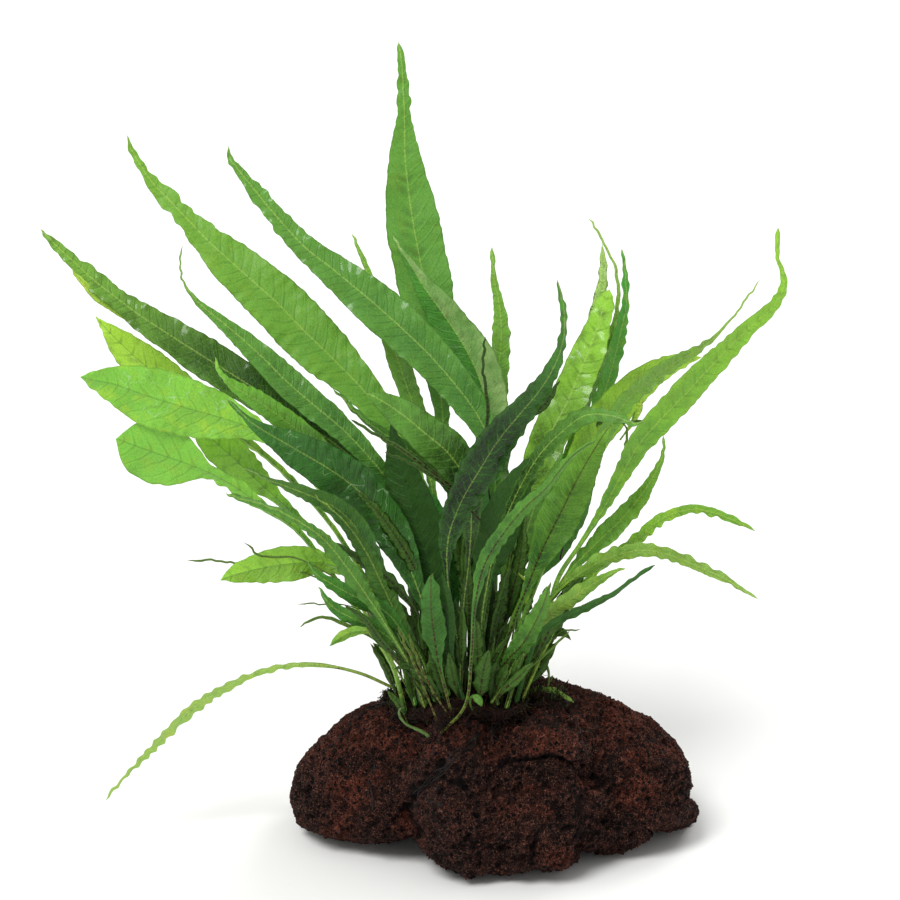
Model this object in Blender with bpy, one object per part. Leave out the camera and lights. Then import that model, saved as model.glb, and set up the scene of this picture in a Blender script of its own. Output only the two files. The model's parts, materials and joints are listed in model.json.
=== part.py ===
"""A java fern grown on a lump of lava stone.

The stone stands on its flat underside. A creeping rhizome lies on it in four branches, and some fifty
fronds rise from the rhizome in a fan. Metres, +Z up, the front at -Y; the origin is on the underside.
"""
import math

import bmesh
import bpy
import numpy as np
from mathutils import Vector, noise
from mathutils.bvhtree import BVHTree

MM = 0.001

# How the photograph looks at the plant: from the front and a little above.
VIEW_DISTANCE = 0.900
VIEW_TILT = math.radians(15.0)
VIEW_AIM = np.array((-0.0135, 0.0, 0.1265))
PICTURE_MIDDLE = 450.0
PICTURE_SCALE = 3000.0
PIXEL = VIEW_DISTANCE / PICTURE_SCALE

# The stone: a rounded block about its heart, with lumps grown out of it, trimmed to the outline seen.
STONE_HEART = np.array((1.0, 8.0, 14.0)) * MM
STONE_LEFT, STONE_RIGHT = 67.0 * MM, 66.0 * MM
STONE_FRONT, STONE_BACK = 31.0 * MM, 44.0 * MM
STONE_UP, STONE_DOWN = 34.0 * MM, 17.0 * MM
STONE_FULLNESS = 2.4
LUMP_CRISPNESS = 14
TRIM_CRISPNESS = 18
STONE_GRID = 22
KNOB_EDGE = 1.6
RUBBLE_SIZE = 12.0 * MM
RUBBLE_HEIGHT = 4.6 * MM
RUBBLE_LAYERS = 3

# The rhizome: a creeping stem, old and brown but for its green growing tip.
RHIZOME_RADIUS = 2.4 * MM
RHIZOME_SIDES = 8
BRANCH_STEP = 5.0 * MM
BRANCH_ENDS = (0.25, 0.85)
GAP = 0.35 * MM

# The fronds: thin blades, thickest at the midrib, on narrow winged stalks.
MIDRIB_THICKNESS = 1.1 * MM
TIP_CROWDING = 1.3
TIP_THINNING = 0.6
STALK_WIDTH = 2.0 * MM
STALK_SHARE = 0.8
RING_SPACING = 9.8 * MM
CHANNEL = 0.14
WAVE = 0.8 * MM
FULL_WAVE_HALF = 5.0 * MM
FEWEST_RINGS = 7
FOOT_LIFT = 0.8 * MM

# The fan: each frond leans out more than the one in front of it, and is pushed back where it would touch.
FRONT_LEAN, BACK_LEAN, REAR_LEAN = -58.0 * MM, 52.0 * MM, 150.0 * MM
LEAN_RADIUS = 135.0 * MM
LEAN_CURVE = 1.3
CLEARANCE = 0.7 * MM
PARTING_CELL = 5.0
PARTING_SLOPE = 0.45
FEELERS_ALONG, FEELERS_ACROSS = 8, 13

# The lumps: middle and half sizes in millimetres.
STONE_LUMPS = (
    ((-11.0, -11.0, 13.0), (18.0, 30.0, 35.0)),
    ((14.0, -10.0, 13.0), (19.0, 29.0, 34.0)),
    ((-34.0, 12.0, 17.0), (34.0, 27.0, 27.0)),
    ((30.0, 6.0, 16.0), (30.0, 25.0, 30.0)),
    ((52.0, 16.0, 6.0), (22.0, 18.0, 16.0)),
    ((-10.0, 28.0, 16.0), (38.0, 25.0, 32.0)),
)
# Knobs and hollows on its face: where, how wide (degrees across, degrees up), how high in millimetres.
STONE_KNOBS = (
    ((-17.0, -27.0, 43.0), (11.0, 9.0), 2.8),
    ((16.0, -29.0, 42.0), (17.0, 6.5), 4.0),
    ((15.0, -33.0, 34.0), (17.0, 4.0), -1.6),
    ((-34.0, -16.0, 33.0), (10.0, 14.0), 1.8),
    ((30.0, 50.0, 22.0), (16.0, 12.0), 3.0),
    ((-34.0, 44.0, 34.0), (14.0, 9.0), -2.5),
)
# Its outline in the photograph's pixels, clockwise from the left end; the plant hides the crest.
STONE_OUTLINE = (
    (291, 796), (295, 780), (298, 766), (311, 750), (330, 732), (352, 713), (390, 698), (412, 684),
    (450, 675), (500, 671), (530, 673), (556, 679), (572, 685), (588, 691), (610, 699), (633, 712),
    (649, 718), (661, 729), (677, 745), (687, 764), (690, 783), (687, 797), (699, 809), (695, 822),
    (677, 831), (652, 834), (645, 828), (640, 844), (620, 854), (580, 849), (577, 860), (566, 867),
    (543, 870), (535, 866), (521, 872), (486, 872), (467, 878), (454, 870), (438, 863), (425, 850),
    (413, 835), (390, 841), (362, 842), (336, 838), (298, 825), (294, 810),
)

# The branches of the rhizome, as seen from above, in millimetres.
RHIZOME_BRANCHES = {
    "rhizome_front":
        ((-29.5, -8.1), (-29.0, -11.5), (-25.0, -15.0), (-16.0, -16.0), (-6.0, -16.0), (9.0, -16.0)),
    "rhizome_main_stem":
        ((-34.0, -4.5), (-26.0, -4.5), (-14.0, -4.5), (-2.0, -4.5), (8.0, -6.0), (16.0, -12.0),
         (25.0, -20.0)),
    "rhizome_back":
        ((-29.5, -0.9), (-28.5, 3.0), (-24.0, 6.5), (-14.0, 7.0), (-2.0, 7.0), (11.0, 6.0)),
    "rhizome_runner":
        ((-13.5, -19.2), (-14.5, -22.0), (-15.5, -25.0), (-17.0, -28.5)),
}
# The branches and the rows of feet bow back towards both ends of the clump.
BOW_MIDDLE = -8.0 * MM
BOW = 0.012 / MM
FOOT_ROWS = (-17.6, -16.0, -14.4, -6.1, -4.5, -2.9, 5.4, 7.0, 8.6)
FEET_IN_A_ROW = 6

# The fronds from front to back. Each has its foot along the rhizome (mm), the width seen (mm), its turn
# about its own length (degrees), where its stalk ends and its blade is widest (shares of its length),
# how sharply it ends, its colour, and its route in the photograph's pixels from above the foot to the tip.
FRONDS = (
    ("frond_front_01", -16.5, 4.6, 30, (0.20, 0.55), 1.2, "#4c9a3a",
     ((459, 703), (466, 670), (473, 625), (475, 592), (487, 558), (514, 518), (546, 487), (571, 456),
      (596, 440))),
    ("frond_front_02", -14.0, 7.4, -20, (0.20, 0.52), 0.7, "#3f8038",
     ((444, 682), (437, 652), (433, 622), (431, 598), (432, 573))),
    ("frond_front_03", 0.5, 6.6, 25, (0.22, 0.50), 0.9, "#3f8038",
     ((493, 681), (506, 660), (523, 642), (538, 615), (551, 582))),
    ("frond_front_04", -9.5, 3.8, -30, (0.25, 0.55), 1.2, "#35692f",
     ((455, 672), (450, 645), (449, 618), (447, 592), (442, 572))),
    ("frond_left_01", -21.0, 4.8, 35, (0.15, 0.50), 2.0, "#4f8a3c",
     ((408, 663), (379, 615), (352, 575), (325, 541), (287, 515), (262, 505), (244, 500), (226, 493))),
    ("frond_left_02", -27.0, 3.0, -20, (0.55, 0.80), 0.7, "#7fb23c",
     ((395, 672), (382, 646), (370, 632), (355, 631), (341, 637), (329, 646))),
    ("frond_left_03", -24.0, 5.2, -25, (0.25, 0.55), 1.0, "#35752f",
     ((402, 655), (385, 634), (362, 622), (344, 614), (328, 602), (318, 586))),
    ("frond_left_04", -20.5, 5.4, -30, (0.25, 0.60), 1.0, "#2f6c30",
     ((412, 650), (392, 617), (376, 607), (355, 596), (331, 583), (315, 572), (307, 560))),
    ("frond_right_01", 6.5, 2.6, 30, (0.25, 0.50), 1.5, "#2f5e28",
     ((537, 638), (560, 620), (588, 607), (616, 592), (639, 575), (656, 564))),
    ("frond_right_02", 3.5, 5.0, 25, (0.30, 0.60), 1.1, "#7aab3a",
     ((525, 650), (550, 613), (574, 597), (600, 579), (626, 567))),
    ("frond_right_03", -1.0, 4.4, 35, (0.25, 0.55), 0.9, "#72a845",
     ((520, 655), (545, 606), (575, 577), (602, 561), (622, 553), (644, 550), (668, 554), (695, 565),
      (728, 580), (758, 600))),
    ("frond_left_05", -18.0, 6.4, 30, (0.08, 0.50), 1.8, "#3d7a35",
     ((420, 655), (398, 619), (380, 581), (362, 545), (339, 516), (314, 495))),
    ("frond_left_06", -22.0, 7.4, -35, (0.10, 0.55), 1.6, "#2f6a2e",
     ((405, 650), (383, 592), (365, 545), (348, 516), (328, 503), (302, 492), (272, 480), (243, 468))),
    ("frond_right_04", 8.5, 3.2, 30, (0.30, 0.60), 0.5, "#83b640",
     ((556, 625), (580, 588), (602, 566), (622, 551), (640, 537), (654, 524), (672, 513), (693, 509),
      (722, 515), (756, 531))),
    ("frond_left_07", -17.0, 14.5, 22, (0.10, 0.62), 1.7, "#2c5f2c",
     ((435, 645), (424, 610), (411, 571), (398, 543), (380, 515), (352, 485), (314, 460), (276, 438),
      (245, 418), (226, 399))),
    ("frond_left_08", -14.0, 7.0, -25, (0.18, 0.78), 1.5, "#5f9e38",
     ((435, 630), (405, 555), (362, 490), (312, 442), (285, 420), (262, 403), (240, 390), (221, 374),
      (215, 357))),
    ("frond_centre_01", -10.5, 11.0, 35, (0.18, 0.52), 2.0, "#1f4d22",
     ((461, 665), (452, 610), (446, 562), (453, 518), (470, 487), (488, 455), (505, 431), (527, 405),
      (548, 378), (560, 349), (564, 326), (562, 303), (557, 279))),
    ("frond_right_05", 1.0, 5.0, -50, (0.20, 0.80), 1.1, "#4d8a3a",
     ((482, 640), (492, 565), (512, 505), (540, 455), (565, 430), (590, 414), (610, 416), (626, 423),
      (647, 421))),
    ("frond_centre_02", -7.5, 12.6, 20, (0.30, 0.70), 0.75, "#4f8f38",
     ((461, 640), (468, 565), (471, 510), (463, 472), (448, 453), (422, 431), (398, 411), (380, 400),
      (366, 393))),
    ("frond_centre_03", -17.0, 14.0, -25, (0.13, 0.60), 1.2, "#1f4a20",
     ((450, 645), (436, 585), (420, 535), (406, 490), (397, 455), (392, 420))),
    ("frond_right_06", 5.0, 7.8, 30, (0.22, 0.58), 1.4, "#62a33b",
     ((540, 635), (555, 585), (570, 560), (592, 526), (612, 493), (634, 451), (658, 422), (682, 397),
      (706, 371), (731, 345), (757, 320), (777, 302), (784, 284), (779, 262), (778, 227))),
    ("frond_right_07", -2.0, 12.4, -25, (0.25, 0.66), 1.1, "#5c9a38",
     ((503, 650), (527, 588), (543, 550), (560, 515), (577, 481), (594, 450), (612, 424))),
    ("frond_left_09", -26.0, 17.2, -18, (0.50, 0.80), 0.85, "#7ec23a",
     ((402, 650), (368, 570), (325, 495), (275, 441), (238, 423), (210, 414), (182, 406), (149, 396),
      (115, 384), (80, 377))),
    ("frond_left_10", -21.0, 10.6, -25, (0.42, 0.76), 0.8, "#8db838",
     ((410, 665), (390, 625), (367, 588), (343, 568), (320, 562), (292, 563), (264, 567), (239, 573),
      (220, 580))),
    ("frond_left_11", -31.0, 3.2, 62, (0.30, 0.62), 1.6, "#8dbb5a",
     ((390, 680), (368, 676), (347, 669), (318, 665), (286, 666), (253, 675), (221, 691), (193, 709),
      (170, 730), (145, 756), (119, 783), (106, 801))),
    ("frond_left_12", -23.0, 19.0, -15, (0.70, 0.88), 0.6, "#78bd3a",
     ((412, 672), (380, 640), (347, 595), (322, 560), (299, 531), (277, 516), (255, 501), (226, 480),
      (200, 468), (172, 458), (140, 447), (116, 438))),
    ("frond_right_08", 9.0, 6.0, -30, (0.30, 0.62), 1.6, "#559a38",
     ((535, 635), (560, 585), (587, 553), (612, 529), (633, 506), (651, 481), (662, 457), (664, 435))),
    ("frond_right_09", -6.0, 12.4, 25, (0.22, 0.60), 1.4, "#2c5c26",
     ((476, 640), (484, 580), (496, 535), (510, 500), (527, 470), (547, 440))),
    ("frond_right_10", 3.0, 5.4, 40, (0.30, 0.66), 3.0, "#4f8f45",
     ((512, 650), (542, 570), (572, 500), (600, 443), (622, 406), (645, 384), (673, 363), (699, 349),
      (716, 335), (737, 312), (761, 279))),
    ("frond_left_13", -12.5, 9.0, 28, (0.14, 0.66), 2.4, "#3d8a38",
     ((445, 630), (427, 570), (395, 492), (355, 442), (322, 412), (291, 386), (263, 358), (234, 332),
      (207, 310), (190, 294), (182, 278), (180, 262), (183, 245))),
    ("frond_centre_04", -9.5, 4.6, -30, (0.20, 0.60), 1.5, "#2a5a28",
     ((462, 600), (464, 530), (452, 487), (419, 457), (390, 437), (371, 424), (352, 408), (333, 388))),
    ("frond_left_14", -18.0, 11.8, 30, (0.12, 0.66), 2.0, "#2a5a26",
     ((442, 620), (422, 560), (387, 492), (342, 450), (300, 420), (258, 391), (220, 367), (182, 343),
      (145, 319), (115, 297), (90, 277), (61, 250), (40, 229))),
    ("frond_left_15", -23.0, 10.6, -25, (0.55, 0.84), 1.0, "#8fbb38",
     ((402, 650), (355, 580), (303, 522), (265, 487), (240, 463), (214, 440), (188, 415))),
    ("frond_right_11", 0.0, 11.2, 28, (0.30, 0.74), 0.9, "#96cc45",
     ((500, 650), (530, 580), (562, 500), (590, 443), (608, 417), (628, 395), (652, 375), (678, 362),
      (702, 357))),
    ("frond_centre_05", -5.5, 13.4, 24, (0.16, 0.62), 2.0, "#3f8a38",
     ((472, 650), (487, 565), (495, 495), (489, 438), (468, 402), (442, 369), (415, 341), (387, 315),
      (358, 290), (330, 267), (301, 244), (278, 218), (259, 196), (245, 177), (231, 162), (229, 145))),
    ("frond_right_12", 6.5, 11.4, -22, (0.25, 0.70), 0.7, "#85c43c",
     ((498, 640), (508, 570), (522, 505), (546, 443), (566, 405), (581, 370), (593, 340), (602, 313),
      (609, 289))),
    ("frond_left_16", -27.0, 12.4, -25, (0.50, 0.82), 1.2, "#98c53c",
     ((397, 640), (342, 540), (282, 470), (215, 418), (165, 381), (134, 355), (111, 333), (95, 316))),
    ("frond_centre_06", -10.0, 9.4, 20, (0.22, 0.60), 1.2, "#2c5c26",
     ((461, 640), (452, 580), (441, 532), (431, 502), (418, 478))),
    ("frond_left_17", -15.0, 16.8, 26, (0.18, 0.65), 2.4, "#5f9a35",
     ((452, 640), (440, 550), (412, 460), (376, 405), (345, 371), (311, 338), (275, 301), (240, 270),
      (202, 235), (177, 208), (156, 187), (141, 166), (131, 149), (127, 135))),
    ("frond_right_13", 2.0, 4.8, 35, (0.25, 0.68), 1.6, "#3c8038",
     ((512, 620), (545, 530), (580, 450), (603, 395), (612, 366), (618, 341), (624, 316), (626, 293),
      (625, 271), (622, 248))),
    ("frond_right_14", -2.0, 2.4, 40, (0.25, 0.60), 1.6, "#62a33b",
     ((505, 620), (540, 520), (580, 420), (607, 350), (617, 312), (618, 280), (613, 260), (605, 245),
      (589, 217))),
    ("frond_centre_07", -6.0, 13.0, -28, (0.25, 0.66), 1.5, "#8fb56a",
     ((482, 640), (495, 540), (497, 450), (484, 392), (471, 358), (455, 331), (440, 309), (425, 288),
      (410, 263), (392, 236))),
    ("frond_centre_08", -1.0, 6.2, 30, (0.25, 0.66), 1.4, "#558f3c",
     ((494, 640), (496, 540), (497, 450), (496, 396), (499, 362), (501, 335), (500, 312), (496, 290),
      (493, 270), (492, 246))),
    ("frond_centre_09", -19.0, 6.6, -30, (0.25, 0.66), 1.8, "#6aa53c",
     ((447, 620), (438, 520), (420, 430), (405, 380), (391, 338), (378, 300), (368, 272), (360, 252),
      (352, 233))),
    ("frond_centre_10", -11.0, 16.8, 18, (0.28, 0.66), 2.1, "#4f963a",
     ((456, 640), (451, 520), (441, 400), (430, 310), (420, 262), (414, 228), (409, 196), (405, 158),
      (404, 107), (402, 68), (399, 42))),
    ("frond_back_01", -24.0, 15.0, 30, (0.10, 0.60), 1.6, "#3f7a36",
     ((428, 620), (413, 550), (399, 490), (386, 440))),
    ("frond_back_02", -7.0, 9.0, -35, (0.25, 0.60), 1.6, "#4f8a3c",
     ((470, 620), (478, 540), (482, 460), (478, 400))),
    ("frond_back_03", 4.0, 11.0, 30, (0.25, 0.60), 1.6, "#5c9a3c",
     ((505, 610), (527, 530), (552, 450), (570, 385))),
    ("frond_back_04", 8.0, 11.0, -30, (0.25, 0.60), 1.6, "#4f8f38",
     ((520, 610), (553, 545), (582, 490), (600, 445))),
    ("frond_back_05", -16.0, 13.0, 35, (0.10, 0.60), 1.6, "#4c8a3a",
     ((440, 620), (432, 560), (420, 500), (410, 450))),
    ("frond_back_06", -4.0, 10.0, 20, (0.25, 0.60), 1.6, "#5a953a",
     ((485, 600), (495, 520), (500, 450), (500, 420))),
    ("frond_back_07", 0.5, 12.0, -25, (0.25, 0.60), 1.6, "#437f38",
     ((502, 600), (518, 540), (532, 490), (545, 445))),
)
# The fronds still unrolling: the foot seen from above (mm), radii along it (mm), sides, colour and route.
YOUNG_RINGS = 12
YOUNG_FRONDS = (
    ("fiddlehead", (-19.8, -26.7), (0.9, 0.9, 0.8, 0.7, 0.8, 0.5), 6, "#6f8f3a",
     ((425, 733), (416, 729), (406, 724), (400, 717), (399, 710), (403, 707))),
    ("young_frond_curled", (-4.5, -19.2), (0.5, 0.5, 0.6, 1.3, 1.5, 0.6), 6, "#4f9a3c",
     ((472, 708), (471, 701), (475, 695), (481, 696), (484, 702))),
    ("young_frond_looped", (13.5, 1.0), (0.7, 0.6, 0.6, 0.8, 0.9, 0.4), 6, "#4a8a3a",
     ((537, 676), (539, 666), (544, 661), (550, 667), (554, 679))),
)
RUNNER_FROND = "frond_front_01"
RUNNER_FOOT_ROW = -25.5
LAST_FROND_SEEN = "frond_centre_10"
UNDERSIDE_SHOWS = ("frond_front", "frond_left_02", "frond_left_09", "frond_left_10", "frond_left_12",
                   "frond_left_15", "frond_left_16", "frond_right_07", "frond_right_09")

# Where a foot is felt for, from well above: the middle and two circles round it.
WELL_ABOVE = 0.3
FOOTING = [(0.0, 0.0)] + [(r * math.cos(a * math.pi / 4.0), r * math.sin(a * math.pi / 4.0))
                          for r in (0.5, 1.0) for a in range(8)]

VIEW_FORWARD = np.array((0.0, math.cos(VIEW_TILT), -math.sin(VIEW_TILT)))
VIEW_UPWARD = np.array((0.0, math.sin(VIEW_TILT), math.cos(VIEW_TILT)))
VIEW_ACROSS = np.array((1.0, 0.0, 0.0))
VIEW_EYE = VIEW_AIM - VIEW_DISTANCE * VIEW_FORWARD


def spot(pixels, depth):
    """Return the points at the given depths (world y) that the photograph shows at the pixels."""
    across = (pixels[..., 0:1] - PICTURE_MIDDLE) / PICTURE_SCALE
    upward = (PICTURE_MIDDLE - pixels[..., 1:2]) / PICTURE_SCALE
    rays = VIEW_FORWARD + across * VIEW_ACROSS + upward * VIEW_UPWARD
    reach = (depth[..., None] - VIEW_EYE[1]) / rays[..., 1:2]
    return VIEW_EYE + reach * rays


def pixel(point):
    """Return the pixel at which the photograph shows a point."""
    ray = np.asarray(point) - VIEW_EYE
    distance = ray @ VIEW_FORWARD
    return np.array((PICTURE_MIDDLE + PICTURE_SCALE * (ray @ VIEW_ACROSS) / distance,
                     PICTURE_MIDDLE - PICTURE_SCALE * (ray @ VIEW_UPWARD) / distance))


def smoothstep(value):
    value = np.clip(value, 0.0, 1.0)
    return value * value * (3.0 - 2.0 * value)


def linear_colour(code):
    """Turn an sRGB hex colour into linear red, green, blue and alpha."""
    shares = [int(code[i:i + 2], 16) / 255.0 for i in (1, 3, 5)]
    return [s / 12.92 if s <= 0.04045 else ((s + 0.055) / 1.055) ** 2.4 for s in shares] + [1.0]


def add_piece(name, vertices, faces, colour, roughness, smooth_angle=40.0):
    """Make one closed object of its own material, with its faces pointing out, and return it."""
    mesh = bpy.data.meshes.new(name)
    mesh.from_pydata([tuple(v) for v in vertices], [], faces)
    work = bmesh.new()
    work.from_mesh(mesh)
    bmesh.ops.triangulate(work, faces=work.faces)
    bmesh.ops.recalc_face_normals(work, faces=work.faces)
    work.to_mesh(mesh)
    work.free()
    mesh.shade_smooth()
    mesh.set_sharp_from_angle(angle=math.radians(smooth_angle))
    material = bpy.data.materials.new(name)
    material.use_nodes = True
    surface = material.node_tree.nodes["Principled BSDF"]
    surface.inputs["Base Color"].default_value = linear_colour(colour)
    surface.inputs["Roughness"].default_value = roughness
    surface.inputs["Metallic"].default_value = 0.0
    mesh.materials.append(material)
    piece = bpy.data.objects.new(name, mesh)
    bpy.context.collection.objects.link(piece)
    return piece


def surface_of(pieces):
    """Return a search tree over the faces of the pieces, for finding what lies under a point."""
    vertices, faces = [], []
    for piece in pieces:
        start = len(vertices)
        vertices += [v.co.copy() for v in piece.data.vertices]
        faces += [[start + i for i in p.vertices] for p in piece.data.polygons]
    return BVHTree.FromPolygons(vertices, faces)


def height_under(tree, x, y, radius=0.0, roundness=0.0):
    """Return how high a foot of that radius rests on the surface; a round one reaches lower than its rim."""
    heights = []
    for dx, dy in FOOTING:
        above = Vector((x + radius * dx, y + radius * dy, WELL_ABOVE))
        hit = tree.ray_cast(above, Vector((0.0, 0.0, -1.0)))[0]
        heights.append((hit.z if hit else 0.0) + roundness * math.sqrt(1.0 - dy * dy))
    return max(heights)


def sorted_by_angle(off):
    """Return the angles and the lengths of the outline's spokes, by rising angle."""
    angles = np.arctan2(off[:, 1], off[:, 0])
    order = np.argsort(angles)
    return angles[order], np.hypot(off[:, 0], off[:, 1])[order]


def trimmed_reach(directions):
    """Return how far each direction from the heart stays inside the outline seen."""
    heart = pixel(STONE_HEART)
    off = (np.array(STONE_OUTLINE) - heart) * (1.0, -1.0)
    distance = (STONE_HEART - VIEW_EYE) @ VIEW_FORWARD
    away = directions @ VIEW_FORWARD
    sight = (heart - PICTURE_MIDDLE) * (1.0, -1.0) / PICTURE_SCALE
    across = directions @ VIEW_ACROSS - sight[0] * away
    upward = directions @ VIEW_UPWARD - sight[1] * away
    rim = np.interp(np.arctan2(upward, across), *sorted_by_angle(off), period=2.0 * math.pi)
    closing = PICTURE_SCALE * np.hypot(across, upward) - rim * away
    return np.where(closing > 1.0, rim * distance / np.maximum(closing, 1.0), 1.0)


def stone_reach(directions):
    """Return how far the stone reaches from its heart along each direction."""
    x, y, z = directions.T
    half = np.stack((np.where(x < 0.0, STONE_LEFT, STONE_RIGHT), np.where(y < 0.0, STONE_FRONT, STONE_BACK),
                     np.where(z < 0.0, STONE_DOWN, STONE_UP)), axis=1)
    block = np.sum(np.abs(directions / half) ** STONE_FULLNESS, axis=1) ** (-1.0 / STONE_FULLNESS)
    total = block ** LUMP_CRISPNESS
    for middle, radii in STONE_LUMPS:
        radii = np.array(radii) * MM
        start = (STONE_HEART - np.array(middle) * MM) / radii
        step = directions / radii
        a, b, c = np.sum(step * step, axis=1), step @ start, start @ start - 1.0
        inside = b * b - a * c
        far = (np.sqrt(np.maximum(inside, 0.0)) - b) / a
        total += np.where(inside > 0.0, np.maximum(far, 0.0), 0.0) ** LUMP_CRISPNESS
    reach = total ** (1.0 / LUMP_CRISPNESS)
    for place, (across, upward), height in STONE_KNOBS:
        aim = np.array(place) * MM - STONE_HEART
        aim /= np.linalg.norm(aim)
        side = np.cross(aim, (0.0, 0.0, 1.0))
        side /= np.linalg.norm(side)
        rise = np.cross(side, aim)
        off = np.hypot(directions @ side / math.sin(math.radians(across)),
                       directions @ rise / math.sin(math.radians(upward)))
        reach += height * MM * smoothstep(KNOB_EDGE - off) * (directions @ aim > 0.0)
    points = STONE_HEART + directions * reach[:, None]
    reach += [RUBBLE_HEIGHT * noise.fractal(Vector(p) / RUBBLE_SIZE, 0.8, 2.0, RUBBLE_LAYERS) for p in points]
    shared = reach ** -TRIM_CRISPNESS + trimmed_reach(directions) ** -TRIM_CRISPNESS
    return shared ** (-1.0 / TRIM_CRISPNESS)


def make_stone():
    """Wrap a cube's grid of points round the heart, pulled out to the stone's reach and cut flat below."""
    work = bmesh.new()
    bmesh.ops.create_cube(work, size=2.0)
    bmesh.ops.subdivide_edges(work, edges=work.edges, cuts=STONE_GRID - 1, use_grid_fill=True)
    grid = np.array([v.co for v in work.verts])
    directions = np.tan(grid * math.pi / 4.0)
    directions /= np.linalg.norm(directions, axis=1)[:, None]
    reach = stone_reach(directions)
    down = directions[:, 2] < -1e-6
    floor = np.where(down, -STONE_HEART[2] / np.where(down, directions[:, 2], -1.0), np.inf)
    points = STONE_HEART + directions * np.minimum(reach, floor)[:, None]
    points[reach >= floor, 2] = 0.0
    for vertex, point in zip(work.verts, points):
        vertex.co = point
    underside = [f for f in work.faces if all(v.co.z == 0.0 for v in f.verts)]
    bmesh.ops.dissolve_faces(work, faces=underside)
    work.verts.index_update()
    vertices = [v.co.copy() for v in work.verts]
    faces = [[v.index for v in f.verts] for f in work.faces]
    work.free()
    return add_piece("stone", vertices, faces, "#3e231d", 0.85, smooth_angle=60.0)


def tube(points, radii, sides, turn=0.0):
    """Return the vertices and faces of a closed round rod through the points."""
    points = np.array(points)
    tangents = np.gradient(points, axis=0)
    tangents /= np.linalg.norm(tangents, axis=1)[:, None]
    angles = np.arange(sides) * 2.0 * math.pi / sides + turn
    guide = np.array((0.0, 0.0, 1.0)) if abs(tangents[0, 2]) < 0.9 else np.array((1.0, 0.0, 0.0))
    vertices = []
    for point, tangent, radius in zip(points, tangents, radii):
        side = np.cross(tangent, guide)
        side /= np.linalg.norm(side)
        guide = np.cross(side, tangent)
        vertices += [point + radius * (math.cos(a) * side + math.sin(a) * guide) for a in angles]
    faces = [list(range(sides)), list(range(len(vertices) - sides, len(vertices)))]
    for ring in range(len(points) - 1):
        low, high = ring * sides, (ring + 1) * sides
        faces += [[low + i, low + (i + 1) % sides, high + (i + 1) % sides, high + i] for i in range(sides)]
    return vertices, faces


def through(points, shares_along):
    """Return the points at the given shares of the length of a smooth curve through the given ones."""
    points = np.array(points, dtype=float)
    padded = np.vstack((2.0 * points[0] - points[1], points, 2.0 * points[-1] - points[-2]))
    shares = np.linspace(0.0, 1.0, 12, endpoint=False)[:, None]
    fine = []
    for a, b, c, d in zip(padded, padded[1:], padded[2:], padded[3:]):
        fine.append(0.5 * (2.0 * b + (c - a) * shares + (2.0 * a - 5.0 * b + 4.0 * c - d) * shares ** 2
                           + (3.0 * b - a - 3.0 * c + d) * shares ** 3))
    fine = np.vstack(fine + [points[-1:]])
    length = np.concatenate(((0.0,), np.cumsum(np.linalg.norm(np.diff(fine, axis=0), axis=1))))
    places = np.asarray(shares_along) * length[-1]
    return np.stack([np.interp(places, length, fine[:, i]) for i in range(fine.shape[1])], axis=1)


def bowed(x, y):
    """Return the distance back of a place in the clump, whose rows bow back towards their ends."""
    return y + BOW * (x - BOW_MIDDLE) ** 2


def make_rhizome(stone):
    """Lay the branches of the rhizome on the stone, each as high as the highest bump under it."""
    tree = surface_of([stone])
    branches = []
    for name, plan in RHIZOME_BRANCHES.items():
        count = max(5, round(np.sum(np.linalg.norm(np.diff(plan, axis=0), axis=1)) * MM / BRANCH_STEP))
        line = through(np.array(plan) * MM, np.linspace(0.0, 1.0, count))
        line[:, 1] = bowed(*line.T)
        heights = [height_under(tree, x, y, BRANCH_STEP / 2.0, RHIZOME_RADIUS) for x, y in line]
        centre = np.column_stack((line, np.array(heights) + GAP))
        thin = np.sqrt(np.sin(np.linspace(*BRANCH_ENDS, count) * math.pi))
        branches.append(add_piece(name, *tube(centre, RHIZOME_RADIUS * thin, RHIZOME_SIDES), "#33291c", 0.8))
    return branches


def frond_outline(share, stalk, belly, sharpness):
    """Return the width of a frond, as a share of its greatest, at each share of its length."""
    rise = smoothstep((share - stalk) / (belly - stalk))
    fall = np.clip((share - belly) / (1.0 - belly), 0.0, 1.0)
    return rise * (1.0 - fall) ** sharpness * (1.0 + sharpness * fall)


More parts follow.
